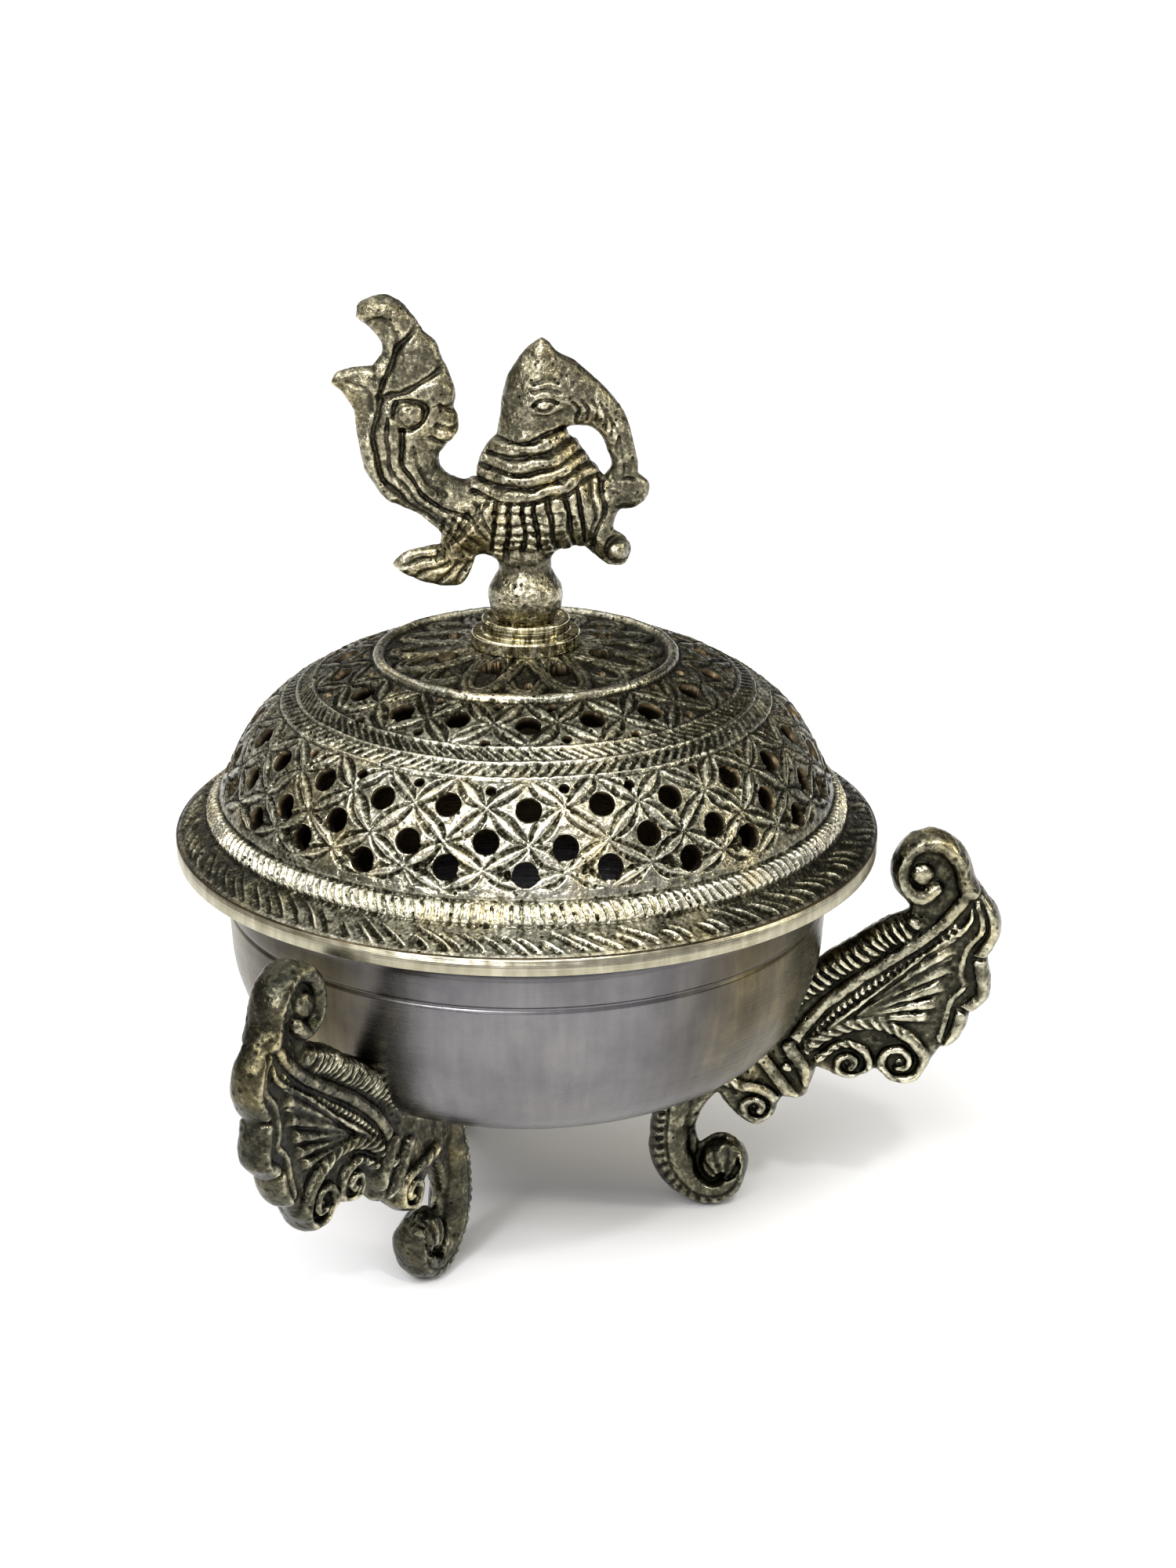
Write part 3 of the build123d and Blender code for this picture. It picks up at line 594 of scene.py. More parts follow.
def leg_half_thickness(r, z):
    """Height of the leg's ornamented face over its middle plane."""
    plate = blended(r, z, LEG_PLATE, 4.0)
    ground = unevenness(np.stack([r, z], -1), 1.3, 11)
    half = plate + 0.05 * ground
    # ribs between the upper edge and the rim line
    dist, along, _ = path_distance(r, z, smooth_loop(LEG_EDGE))
    wave = np.abs(np.cos(math.pi * (along + 0.25 * dist) / 1.72)) ** 0.85
    band = crest(dist - 2.5, 2.9) * smoothstep(0.4, 1.4, along)
    half = np.maximum(half, plate - 0.5 + band * (0.55 + 1.35 * wave))
    # rim line, a finer ribbed band inside it, and a thin line beyond
    dist, along, side = path_distance(r, z, smooth_run(RIM_LINE, 6))
    off = dist * side
    half = np.maximum(half, plate + 1.15 * crest(off, 1.35))
    half -= 0.75 * np.exp(-(((off - 1.55) / 0.32) ** 2)) * smoothstep(2.0, 5.0, along)
    wave = np.abs(np.cos(math.pi * along / 1.5)) ** 0.8
    fine = crest(off - 2.75, 1.05) * smoothstep(8.5, 10.5, along)
    half = np.maximum(half, plate - 0.2 + fine * (0.2 + 0.95 * wave))
    dist = path_distance(r, z, smooth_run(SECOND_LINE, 6))[0]
    half = np.maximum(half - 0.45 * np.exp(-(((dist - 0.95) / 0.3) ** 2)), plate + 1.0 * crest(dist, 0.7))
    # fan of narrow leaves
    for tip in FAN_TIPS:
        line = smooth_run([FAN_ROOT, (0.5 * (FAN_ROOT[0] + tip[0]), 0.5 * (FAN_ROOT[1] + tip[1]) + 0.35), tip], 6)
        dist, along, _ = path_distance(r, z, line)
        length = along.max()
        width = 0.4 + 0.052 * along
        leaf = crest(dist, width) * (1 - smoothstep(length - 2.4, length, along))
        half = np.maximum(half - 0.4 * np.exp(-(((dist - width - 0.25) / 0.3) ** 2)), plate + 1.1 * leaf)
    # lobed border: a round bead, a groove and a thin inner line
    dist, along, _ = path_distance(r, z, smooth_loop(LEG_LOBES))
    length = along.max()
    inside = smoothstep(0.0, 1.0, along) * (1 - smoothstep(length - 1.5, length - 0.2, along))
    half = np.maximum(half, plate + 1.15 * crest(dist - 1.5, 1.6) * inside)
    inner = path_distance(r, z, smooth_run(BORDER_LINE, 6))[0]
    half -= 0.85 * np.exp(-(((inner - 0.85) / 0.4) ** 2)) * (dist < 5.2)
    half = np.maximum(half, plate + 0.5 * crest(inner, 0.7))
    for notch in (((84.2, 10.9), (81.6, 12.4)), ((87.2, 22.5), (84.0, 22.7)), ((84.9, 37.4), (83.0, 35.0)),
                  ((79.2, 3.2), (77.2, 5.6))):
        half += groove(r, z, notch, 0.42, 0.95)
    # leafy scrolls under the fan
    upper = scroll(r, z, UPPER_SCROLL, (1.75, 0.85), 1.75, 2.15, 17.0)
    lower = scroll(r, z, LOWER_SCROLL, (1.15, 0.8), 1.5, 1.9, 7.0)
    half = np.maximum(half, plate - 0.25 + np.maximum(upper, lower))
    half += groove(r, z, [(55.6, 2.9), (59.6, 5.7), (64.2, 6.4), (68.2, 5.4), (70.0, 4.8)], 0.4, 0.8)
    half += knob(r, z, (71.0, 0.9), 0.9, 0.7) + knob(r, z, (61.4, 0.5), 0.8, 0.6)
    # two bold bands across the stem, and the small scroll under them
    for line in ([(45.1, 1.2), (47.8, -2.4), (50.9, -6.6)], [(49.9, 3.8), (52.2, 0.5), (54.0, -3.6)]):
        dist = path_distance(r, z, smooth_run(line, 6))[0]
        half = half - 0.7 * np.exp(-(((dist - 1.6) / 0.35) ** 2))
        half = np.where(dist < 1.45, np.maximum(half, 2.7 + 1.45 * crest(dist, 1.45)), half)
    small = scroll(r, z, SMALL_SCROLL, (1.45, 0.95), 1.6, 2.6, 3.0)
    half = np.maximum(half, plate - 0.1 + small)
    half += knob(r, z, (44.0, -9.4), 0.9, 0.6)
    # foot: a round stem ribbed along its outer side, curled round a fluted ball
    dist, along, side = path_distance(r, z, smooth_run(FOOT_LINE, 6))
    off = dist * side
    ribbed = np.abs(np.cos(math.pi * (along + 0.3 * off) / 1.75)) ** 0.8
    outer = smoothstep(0.5, 1.3, -off) * smoothstep(4.0, 8.0, along) * (1 - smoothstep(36.0, 42.0, along))
    stem = 3.9 * crest(off, 4.35) * (1 - 0.16 * (1 - ribbed) * outer)
    half = np.maximum(half, stem - 0.35 * np.exp(-(((off + 0.5) / 0.3) ** 2)))
    dist = np.hypot(r - BALL_CENTRE[0], z - BALL_CENTRE[1])
    turn = np.arctan2(z - BALL_CENTRE[1] + 4.4, r - BALL_CENTRE[0] - 0.6)
    flutes = np.abs(np.cos(7.5 * turn)) ** 0.9
    ball = 4.15 * crest(dist, 4.9) - 0.42 * (1 - flutes) * smoothstep(0.8, 2.4, np.hypot(r - 38.3, z + 26.0))
    half = np.where(dist < 4.75, np.maximum(half * (dist > 3.6), ball), half)
    half += groove(r, z, BALL_LINE, 0.6, 1.5)
    # curl at the top: a thick round rim about a small ball in a hollow
    dist, along, _ = path_distance(r, z, smooth_run(CURL_TUBE, 6))
    width = 2.35 - 0.75 * along / along.max()
    half = np.where(dist < width, np.maximum(half, 1.5 + 2.25 * crest(dist, width)), half)
    dist = np.hypot(r - CURL_BALL[0], z - CURL_BALL[1])
    half = np.where(dist < 2.5, np.maximum(half, 1.3 + 2.0 * crest(dist, 2.5)), half)
    return np.maximum(half, 0.9)


def bowl_outer():
    """Bowl's outer profile from the lip down to the flat underside."""
    lip = smooth_run([(LIP_RADIUS, SEAM - 0.5), (60.2, 43.2), (57.4, 41.5), (56.0, 39.6)], 6)
    body = smooth_run(
        [(55.8, 33.6), (55.7, 30.0), (54.8, 22.0), (50.6, 11.8), (44.0, 6.0), (34.0, 2.2), (24.0, 0.2), (21.0, 0.0)], 12
    )
    return lip, body


def make_leg_mesh():
    """Vertices in the leg's own plane (distance from the axis, across, height), quads and relief."""
    step = 0.29
    low = np.array([21.5, -5.6, GROUND - 1.4])
    high = np.array([91.0, 5.6, 49.4])
    axes = [np.arange(low[k], high[k] + step, step) for k in range(3)]
    r, z = np.meshgrid(axes[0], axes[2], indexing="ij")
    flat = outline_distance(r, z, smooth_loop(LEG_FOOT + LEG_VOLUTES + LEG_LOBES + LEG_CURL + LEG_EDGE + LEG_ROOT))
    half = leg_half_thickness(r, z)
    rounding = 1 - np.clip(-flat / 1.7, 0, 1)
    half = half * np.sqrt(1 - rounding**2)
    slope = np.hypot(np.gradient(half, step, axis=0), np.gradient(half, step, axis=1))
    slope = np.sqrt(1 + np.minimum(slope, 3.0) ** 2)
    wall = np.vstack([[(0, 60), (56.0, 60), (56.0, 34.0)], bowl_outer()[1], [(0, 0)]])
    bowl = outline_distance(r, z, wall)
    bowl_slope = np.gradient(bowl, step, axis=0)
    field = np.empty((len(axes[0]), len(axes[1]), len(axes[2])), np.float32)
    for j, y in enumerate(axes[1]):
        leg = np.maximum((abs(y) - half) / slope, flat)
        cut = bowl + bowl_slope * (np.hypot(r, y) - r) + 0.25
        field[:, j, :] = np.maximum(np.maximum(leg, -cut), GROUND - z)
    verts, quads = surface_nets(field, low, step)
    verts = roughened(verts, quads, (0.05, 4.0), (0.018, 1.1))
    verts[:, 2] = np.maximum(verts[:, 2], GROUND)
    height = height_over_surroundings(verts, quads, 22)
    return verts, quads, np.clip(height / 0.34, -1, 1)


def make_legs():
    verts, quads, relief = make_leg_mesh()
    legs = {}
    for side, angle in LEG_ANGLES.items():
        a = math.radians(angle)
        placed = np.stack(
            [
                verts[:, 0] * math.cos(a) + verts[:, 1] * math.sin(a),
                verts[:, 0] * math.sin(a) - verts[:, 1] * math.cos(a),
                verts[:, 2],
            ],
            1,
        )
        legs[side] = make_object(f"leg_casting_{side}", placed, quads[:, ::-1], relief)
    return legs


# ---------------------------------------------------------------- lid


LID_PROFILE = smooth_run(
    [(64.6, 48.2), (62.2, 49.9), (59.4, 51.6), (57.3, 54.2), (55.9, 57.2), (52.2, 64.7), (47.6, 70.2), (40.0, 75.2),
     (33.6, 78.2), (27.8, 80.3), (22.0, 80.8), (16.0, 81.6), (10.6, 82.3), (2.7, 82.3)], 40
)
LID_LENGTH = np.concatenate([[0], np.cumsum(np.hypot(*np.diff(LID_PROFILE, axis=0).T))])
LID_SLOPE = np.gradient(LID_PROFILE, LID_LENGTH, axis=0)
LID_NORMAL = np.stack([LID_SLOPE[:, 1], -LID_SLOPE[:, 0]], 1)


def lid_place(theta, s, height):
    """Point of the lid's skin, raised by height along its normal."""
    r = np.interp(s, LID_LENGTH, LID_PROFILE[:, 0]) + height * np.interp(s, LID_LENGTH, LID_NORMAL[:, 0])
    z = np.interp(s, LID_LENGTH, LID_PROFILE[:, 1]) + height * np.interp(s, LID_LENGTH, LID_NORMAL[:, 1])
    return np.stack([r * np.cos(theta), r * np.sin(theta), z], -1)


def lid_s(radius):
    """Length along the lid's skin at a radius."""
    return float(np.interp(-radius, -LID_PROFILE[:, 0], LID_LENGTH))


def lid_r(s):
    return np.interp(s, LID_LENGTH, LID_PROFILE[:, 0])


# count around, half-step stagger, drill radius, distance of the row from the axis
HOLE_ROWS = [
    (24, 0.0, 2.25, 54.9), (24, 0.5, 2.25, 52.9), (24, 0.0, 2.25, 49.2), (24, 0.5, 0.9, 46.6),
    (18, 0.0, 0.9, 37.8), (18, 0.5, 2.25, 33.6), (18, 0.0, 0.9, 29.6), (8, 0.5, 2.25, 15.0), (8, 0.0, 0.9, 20.0),
]
DRILL_WANDER = 0.5
HERRING_S = lid_s(41.8)
HERRING_HALF = 3.3
ROPE_S = lid_s(58.0)
ROPE_HALF = 1.75
BEAD_S = lid_s(26.9)
LOWER_NODES = [(lid_s(56.15), 0.0), (lid_s(54.9), 0.5), (lid_s(52.9), 0.0), (lid_s(49.2), 0.5),
               (HERRING_S - HERRING_HALF - 0.35, 0.0)]
UPPER_NODES = [(HERRING_S + HERRING_HALF + 0.35, 0.5), (lid_s(33.6), 0.0), (BEAD_S - 1.2, 0.5)]
STROKES = 118
stroke_reach = rng.uniform(0.55, 1.0, STROKES)
stroke_height = rng.uniform(0.35, 1.0, STROKES)
stroke_shift = rng.uniform(-0.22, 0.22, STROKES)


def holes():
    """Angle, place along the skin and radius of every smoke hole."""
    found = []
    for row, (count, stagger, drill, radius) in enumerate(HOLE_ROWS):
        for i in range(count):
            around = DRILL_WANDER * math.sin(2.3 * i + 1.7 * row)
            outward = DRILL_WANDER * math.cos(3.1 * i + 0.9 * row)
            angle = (i + stagger) * 2 * math.pi / count + around / radius
            found.append((angle, lid_s(radius) - outward, drill))
    return found


def fraction(theta, count, phase):
    return np.mod(theta * count / (2 * math.pi) - phase, 1)


def leaf_lattice(theta, s, count, nodes):
    """Diamond lattice whose lines are smooth leaves between two rough leaf-shaped cuts."""
    relief = np.zeros(theta.shape)
    pitch = 2 * math.pi * lid_r(s) / count
    for (s_a, phase_a), (s_b, _) in zip(nodes[:-1], nodes[1:]):
        f = fraction(theta, count, phase_a)
        u = np.minimum(f, 1 - f) * pitch
        du = 0.5 * pitch
        dv = s_b - s_a
        length = np.hypot(du, dv)
        along = (u * du + (s - s_a) * dv) / length
        across = np.abs((u * dv - (s - s_a) * du) / length)
        t = np.clip(2 * along / length - 1, -1, 1)
        wide = np.minimum(length, 8.5)
        bulge = np.maximum(1 - t * t, 1e-3)
        leaf = 0.08 * wide * bulge
        outer = leaf + 0.125 * wide * bulge**0.8
        share = np.clip((across - leaf) / np.maximum(outer - leaf, 0.05), 0, 1)
        cut = -0.44 * np.sin(math.pi * share) ** 0.6 * smoothstep(0, 0.3, bulge)
        smooth = 0.16 * crest(across, np.maximum(leaf, 0.05)) * smoothstep(0, 0.2, bulge)
        lip = 0.12 * np.exp(-(((across - outer - 0.12) / 0.16) ** 2)) * smoothstep(0, 0.3, bulge)
        here = (s >= s_a) & (s < s_b)
        relief += np.where(here, cut + smooth + lip, 0)
    return relief


def herringbone(theta, s):
    """Two bands of slanted strokes that meet at a middle line."""
    off = s - HERRING_S
    lean = np.where(off > 0, 0.031, 0.022)
    f = fraction(theta + lean * np.abs(off), 136, 0.0)
    middle = np.clip(1 - np.abs(2 * np.abs(off) / HERRING_HALF - 1) ** 2.5, 0, 1)
    stroke = crest(2 * f - 1, 0.12 + 0.42 * middle)
    relief = -0.5 * stroke * (np.abs(off) > 0.35) * (np.abs(off) < HERRING_HALF - 0.1)
    relief += 0.2 * crest(off, 0.38) - 0.16 * np.exp(-(((np.abs(off) - 0.5) / 0.14) ** 2))
    relief += 0.25 * crest(np.abs(off) - HERRING_HALF - 0.1, 0.35)
    relief -= 0.25 * np.exp(-(((np.abs(off) - HERRING_HALF - 0.6) / 0.25) ** 2))
    return relief


def rope(theta, s):
    off = (s - ROPE_S) / ROPE_HALF
    f = fraction(theta + 0.004 * (s - ROPE_S), 216, 0.0)
    gap = crest(2 * f - 1, 0.62 * np.sqrt(np.clip(1 - (off / 0.95) ** 2, 0.01, 1)))
    body = crest(off, 1.0)
    relief = 0.85 * body - 0.95 * gap * smoothstep(0.0, 0.35, body)
    relief -= 0.35 * np.exp(-(((np.abs(s - ROPE_S) - ROPE_HALF - 0.25) / 0.3) ** 2))
    return relief


def chiselled_flange(theta, s):
    """Slanted chisel strokes of uneven length and height on the flange."""
    low, high = 0.5, ROPE_S - ROPE_HALF - 0.3
    share = (s - low) / (high - low)
    turn = theta + 0.022 * (s - low) - 0.05 * share * (1 - share)
    number = np.floor(np.mod(turn * STROKES / (2 * math.pi), STROKES)).astype(int)
    f = fraction(turn, STROKES, 0.0) - stroke_shift[number] - 0.5
    reach = stroke_reach[number]
    body = np.clip(1 - np.abs(2 * share / reach - 1) ** 2.2, 0, 1)
    edge = stroke_height[number] * 0.8 * body * np.exp(-((f / 0.11) ** 2))
    scoop = -0.42 * body * np.exp(-(((f + 0.26) / 0.15) ** 2))
    fade = smoothstep(low, low + 0.4, s) * (1 - smoothstep(high - 0.3, high, s))
    return (edge + scoop - 0.2) * fade


def disc_bands(theta, s):
    """Two interlaced double bands that loop around the disc's holes, on a rough ground."""
    r = lid_r(s)
    relief = np.full(theta.shape, -0.22)
    for phase in (0.0, 0.5):
        angle = 2 * math.pi * fraction(theta, 8, phase)
        centre = 17.4 + 6.4 * np.cos(angle)
        slope = 6.4 * 8 * np.abs(np.sin(angle)) / np.maximum(r, 8)
        dist = np.abs(r - centre) / np.sqrt(1 + slope**2)
        band = 0.5 * crest(dist, 1.3) - 0.42 * np.exp(-((dist / 0.24) ** 2)) - 0.22
        relief = np.where(dist < 1.3, np.maximum(relief, band), relief)
        relief = np.where(dist < 1.3, relief, relief - 0.35 * np.exp(-(((dist - 1.6) / 0.3) ** 2)))
    inside = smoothstep(9.5, 10.5, r) * (1 - smoothstep(25.0, 25.5, r))
    return relief * inside


def lid_relief(theta, s):
    wander = 0.012 * np.sin(5 * theta + 0.6 * s) + 0.009 * np.sin(11 * theta - 0.9 * s + 1.3)
    drift = 0.22 * np.sin(7 * theta + 2.0) + 0.16 * np.sin(13 * theta + 0.5 * s)
    t = theta + 0.45 * wander
    v = s + drift
    relief = chiselled_flange(t, s) + rope(t, s) + herringbone(t, s + 0.3 * drift)
    relief += np.where(s < HERRING_S, leaf_lattice(t, v, 24, LOWER_NODES), 0)
    relief += np.where((s > HERRING_S) & (s < BEAD_S), leaf_lattice(t, v, 18, UPPER_NODES), 0)
    relief += disc_bands(t, s)
    relief += 0.9 * crest(s - BEAD_S, 1.0) - 0.3 * np.exp(-(((np.abs(s - BEAD_S) - 1.25) / 0.28) ** 2))
    # punched rosettes beside the lowest row of holes
    f = fraction(theta, 24, -0.27)
    u = (f - np.round(f)) * 2 * math.pi * lid_r(s) / 24
    dist = np.hypot(u, s - lid_s(54.9) + 0.4)
    relief -= 0.4 * smoothstep(0.25, 0.5, dist) * (1 - smoothstep(1.05, 1.35, dist))
    relief = np.clip(relief, -0.8, 0.95)
    # punched texture in the cuts, and hand-worked unevenness all over
    place = lid_place(theta, s, 0.0 * theta)
    rough = smoothstep(-0.12, -0.34, relief)
    relief = relief + 0.13 * rough * unevenness(place, 0.75, 21)
    return relief + 0.035 * unevenness(place, 2.6, 22) + 0.02 * unevenness(place, 0.9, 23)


def cells_to_corners(cells):
    """Marks the grid corners of marked cells; the grid is closed around the axis."""
    marks = np.zeros((cells.shape[0] + 1, cells.shape[1]), bool)
    for dr in (0, 1):
        for dc in (0, 1):
            marks[dr:dr + cells.shape[0]] |= np.roll(cells, dc, 1)
    return marks


def drilled_grid(rows, count, height, first, hole_list):
    """Grid of vertices around the axis, with its cells removed inside the holes and its edges drawn to their circles."""
    theta, s = np.meshgrid(np.arange(count) * 2 * math.pi / count, rows, indexing="xy")
    theta, s = theta.copy(), s.copy()
    numbers = first + np.arange(theta.size).reshape(theta.shape)
    mid_theta = theta[:-1] + math.pi / count
    mid_s = 0.5 * (s[:-1] + s[1:])
    kept = np.ones(mid_theta.shape, bool)
    rings = {}
    for h, (angle, place, radius) in enumerate(hole_list):
        if not rows[0] + radius < place < rows[-1] - radius:
            continue
        r = lid_r(place)
        off = np.angle(np.exp(1j * (mid_theta[0] - angle))) * r
        columns = np.where(np.abs(off) < radius + 1.0)[0]
        near = np.where(np.abs(mid_s[:, 0] - place) < radius + 1.0)[0]
        block = np.ix_(near, columns)
        gone = np.zeros(kept.shape, bool)
        gone[block] = np.hypot(off[columns][None, :], mid_s[block] - place) < radius
        kept &= ~gone
        edge = cells_to_corners(gone) & cells_to_corners(~gone)
        off_u = np.angle(np.exp(1j * (theta[edge] - angle))) * r
        off_s = s[edge] - place
        turn = np.arctan2(off_s, off_u)
        theta[edge] = angle + radius * np.cos(turn) / r
        s[edge] = place + radius * np.sin(turn)
        order = np.argsort(turn)
        rings[h] = (numbers[edge][order], turn[order])
    a, b = numbers[:-1], numbers[1:]
    quads = np.stack([a, np.roll(a, -1, 1), np.roll(b, -1, 1), b], -1)[kept]
    relief = height(theta, s)
    verts = lid_place(theta, s, relief)
    return verts.reshape(-1, 3), quads, relief.ravel(), numbers, rings


def even_rows(start, stop, spacing):
    return np.linspace(start, stop, int(round((stop - start) / spacing)) + 1)


def even_turn(ring):
    return np.arange(len(ring)) * 2 * math.pi / len(ring)


def lid_inside():
    """Edge band, underside, spigot and hollow of the lid, and the row where the hollow starts."""
    band = crisp([(RIM_RADIUS, SEAM + 3.0), (RIM_RADIUS, SEAM), (53.1, SEAM), (53.1, SEAM - 3), (51.1, SEAM - 3), (51.1, 48.5)])
    dome = smooth_run([(51.1, 48.9), (52.6, 54.0), (53.3, 57.2), (50.3, 63.4), (46.2, 68.4), (39.0, 73.2), (27.0, 78.2)], 14)
    flat = np.stack([np.linspace(26.2, 2.7, 34), np.full(34, 78.2)], 1)
    return np.vstack([band, dome, flat]), len(band)


def make_lid():
    hole_list = holes()
    zones = [
        (0.0, ROPE_S + ROPE_HALF + 0.5, 0.27, 1512),
        (ROPE_S + ROPE_HALF + 0.8, HERRING_S - HERRING_HALF - 0.9, 0.27, 1344),
        (HERRING_S - HERRING_HALF - 0.6, HERRING_S + HERRING_HALF - 0.9, 0.26, 1224),
        (HERRING_S + HERRING_HALF - 0.6, BEAD_S + 1.4, 0.28, 960),
        (BEAD_S + 1.7, lid_s(9.2), 0.28, 600),
        (lid_s(9.0), LID_LENGTH[-1], 1.6, 180),
    ]
    verts, outside, relief, inside = [], [], [], []
    outer_rings = {}
    first = 0
    ends = []
    for start, stop, spacing, count in zones:
        v, q, h, numbers, rings = drilled_grid(even_rows(start, stop, spacing), count, lid_relief, first, hole_list)
        verts.append(v)
        outside.append(q)
        relief.append(h)
        outer_rings.update(rings)
        ends.append((numbers[0], numbers[-1]))
        first += len(v)
    joins = [zip_rings(a[1], even_turn(a[1]), b[0], even_turn(b[0])) for a, b in zip(ends[:-1], ends[1:])]
    # the inside, in coarser rows
    count = 480
    path, start_row = lid_inside()
    own = np.arange(count) * 2 * math.pi / count
    theta = np.tile(own, (len(path), 1))
    radius = np.repeat(path[:, :1], count, 1)
    level = np.repeat(path[:, 1:], count, 1)
    numbers = first + np.arange(theta.size).reshape(theta.shape)
    kept = np.ones((len(path) - 1, count), bool)
    mid_r = 0.25 * (radius[:-1] + radius[1:] + np.roll(radius[:-1], -1, 1) + np.roll(radius[1:], -1, 1))
    mid_z = 0.5 * (level[:-1] + level[1:])
    mid_theta = theta[:-1] + math.pi / count
    for h, (outer_ids, outer_turn) in outer_rings.items():
        angle, place, drill = hole_list[h]
        centre = lid_place(np.array(angle), np.array(place), np.array(0.0))
        lean = [np.interp(place, LID_LENGTH, LID_NORMAL[:, k]) for k in (0, 1)]
        axis = np.array([lean[0] * math.cos(angle), lean[0] * math.sin(angle), lean[1]])
        side = np.array([-math.sin(angle), math.cos(angle), 0.0])
        up = np.cross(axis, side)
        columns = np.where(np.abs(np.angle(np.exp(1j * (mid_theta[0] - angle)))) < 24 * 2 * math.pi / count)[0]
        block = np.ix_(np.arange(start_row, len(path) - 1), columns)
        p = np.stack([mid_r[block] * np.cos(mid_theta[block]), mid_r[block] * np.sin(mid_theta[block]), mid_z[block]], -1)
        gone = np.zeros(kept.shape, bool)
        gone[block] = np.hypot((p - centre) @ side, (p - centre) @ up) < drill
        kept &= ~gone
        edge = cells_to_corners(gone) & cells_to_corners(~gone)
        p = np.stack([radius[edge] * np.cos(theta[edge]), radius[edge] * np.sin(theta[edge]), level[edge]], -1)
        a_off, b_off = (p - centre) @ side, (p - centre) @ up
        stretch = drill / np.hypot(a_off, b_off) - 1
        p = p + (stretch * a_off)[:, None] * side + (stretch * b_off)[:, None] * up
        theta[edge] = np.arctan2(p[:, 1], p[:, 0])
        radius[edge] = np.hypot(p[:, 0], p[:, 1])
        level[edge] = p[:, 2]
        turn = np.arctan2(b_off, a_off)
        order = np.argsort(turn)
        inside.append(zip_rings(outer_ids, outer_turn, numbers[edge][order], turn[order]))
    a, b = numbers[:-1], numbers[1:]
    hollow = np.stack([a, b, np.roll(b, -1, 1), np.roll(a, -1, 1)], -1)[kept]
    verts.append(np.stack([radius * np.cos(theta), radius * np.sin(theta), level], -1).reshape(-1, 3))
    relief.append(np.zeros(theta.size))
    inside.append(zip_rings(numbers[0], own, ends[0][0], even_turn(ends[0][0])))
    inside.append(zip_rings(ends[-1][1], even_turn(ends[-1][1]), numbers[-1], own))
    worn = np.clip(0.25 + np.concatenate(relief) / 0.58, -1, 1)
    edge_quads = start_row * count
    groups = [np.vstack(outside), np.vstack(joins), hollow[:edge_quads], hollow[edge_quads:], np.vstack(inside)]
    return make_object("lid_casting", np.vstack(verts), groups, worn, [0, 0, 1, 2, 2])


# ---------------------------------------------------------------- turned pieces


def make_bowl():
    lip, body = bowl_outer()
    outside = np.vstack([
        crisp([(53.5, SEAM), (LIP_RADIUS, SEAM), (LIP_RADIUS, SEAM - 0.5)], 0.2),
        lip[1:],
        [(56.0, 39.0), (56.0, 37.0), (56.0, 35.4), (55.95, 35.1), (55.6, 34.9), (55.4, 34.6), (55.45, 34.3), (55.75, 34.0)],
        body,
        [(20.0, 0.0), (12.0, 0.0), (8.2, 0.0), (8.0, 0.15), (7.8, 0.0), (2.0, 0.0), (0.8, 0.5), (0.0, 0.5)],
    ])
    inside = np.vstack([
        [(0.0, 2.4), (10.0, 2.4), (20.0, 2.4)],
        smooth_run([(22.0, 2.4), (33.2, 4.4), (42.7, 7.9), (48.6, 13.0), (52.5, 22.5), (53.5, 33.0)], 10),
        [(53.5, 38.0), (53.5, 44.4), (53.5, 44.8), (53.5, SEAM)],
    ])
    profile = np.vstack([outside[::-1][:-1], [outside[0]]])
    whole = np.vstack([profile, inside[::-1][1:]])
    return revolve("bowl_turning", whole, 384)


def make_collar():
    step_z = COLLAR_LOW + 2.7
    profile = crisp([
        (2.7, COLLAR_LOW), (9.7, COLLAR_LOW), (9.9, COLLAR_LOW + 0.2), (9.9, step_z - 0.35), (9.6, step_z), (8.25, step_z),
        (7.95, step_z + 0.25), (8.0, step_z + 0.5), (8.0, COLLAR_HIGH - 0.3), (7.7, COLLAR_HIGH), (7.0, COLLAR_HIGH),
        (6.4, BALL_SEAT), (2.7, BALL_SEAT), (2.7, COLLAR_LOW),
    ], 0.15)
    return revolve("collar_turning", profile, 192)


def make_cup():
    rim = CUP_HIGH
    roll = [(34.1 + 0.85 * math.cos(a), rim - 0.85 + 0.85 * math.sin(a)) for a in np.linspace(-2.4, 2.4, 14)]
    outside = smooth_run([(17.0, CUP_LOW), (18.6, CUP_LOW + 0.25), (27.0, CUP_LOW + 4.2), (31.6, rim - 3.0), (33.2, rim - 1.4)], 8)
    inside = smooth_run([(32.9, rim - 0.4), (31.0, rim - 1.6), (26.2, CUP_LOW + 5.6), (18.4, CUP_LOW + 1.6), (16.2, CUP_LOW + 1.2)], 8)
    profile = np.vstack([[(0.0, CUP_LOW), (10.0, CUP_LOW), (16.0, CUP_LOW)], outside, roll, inside, [(12.0, CUP_LOW + 1.2), (0.0, CUP_LOW + 1.2)]])
    return revolve("cup_spinning", profile, 192)


# ---------------------------------------------------------------- materials


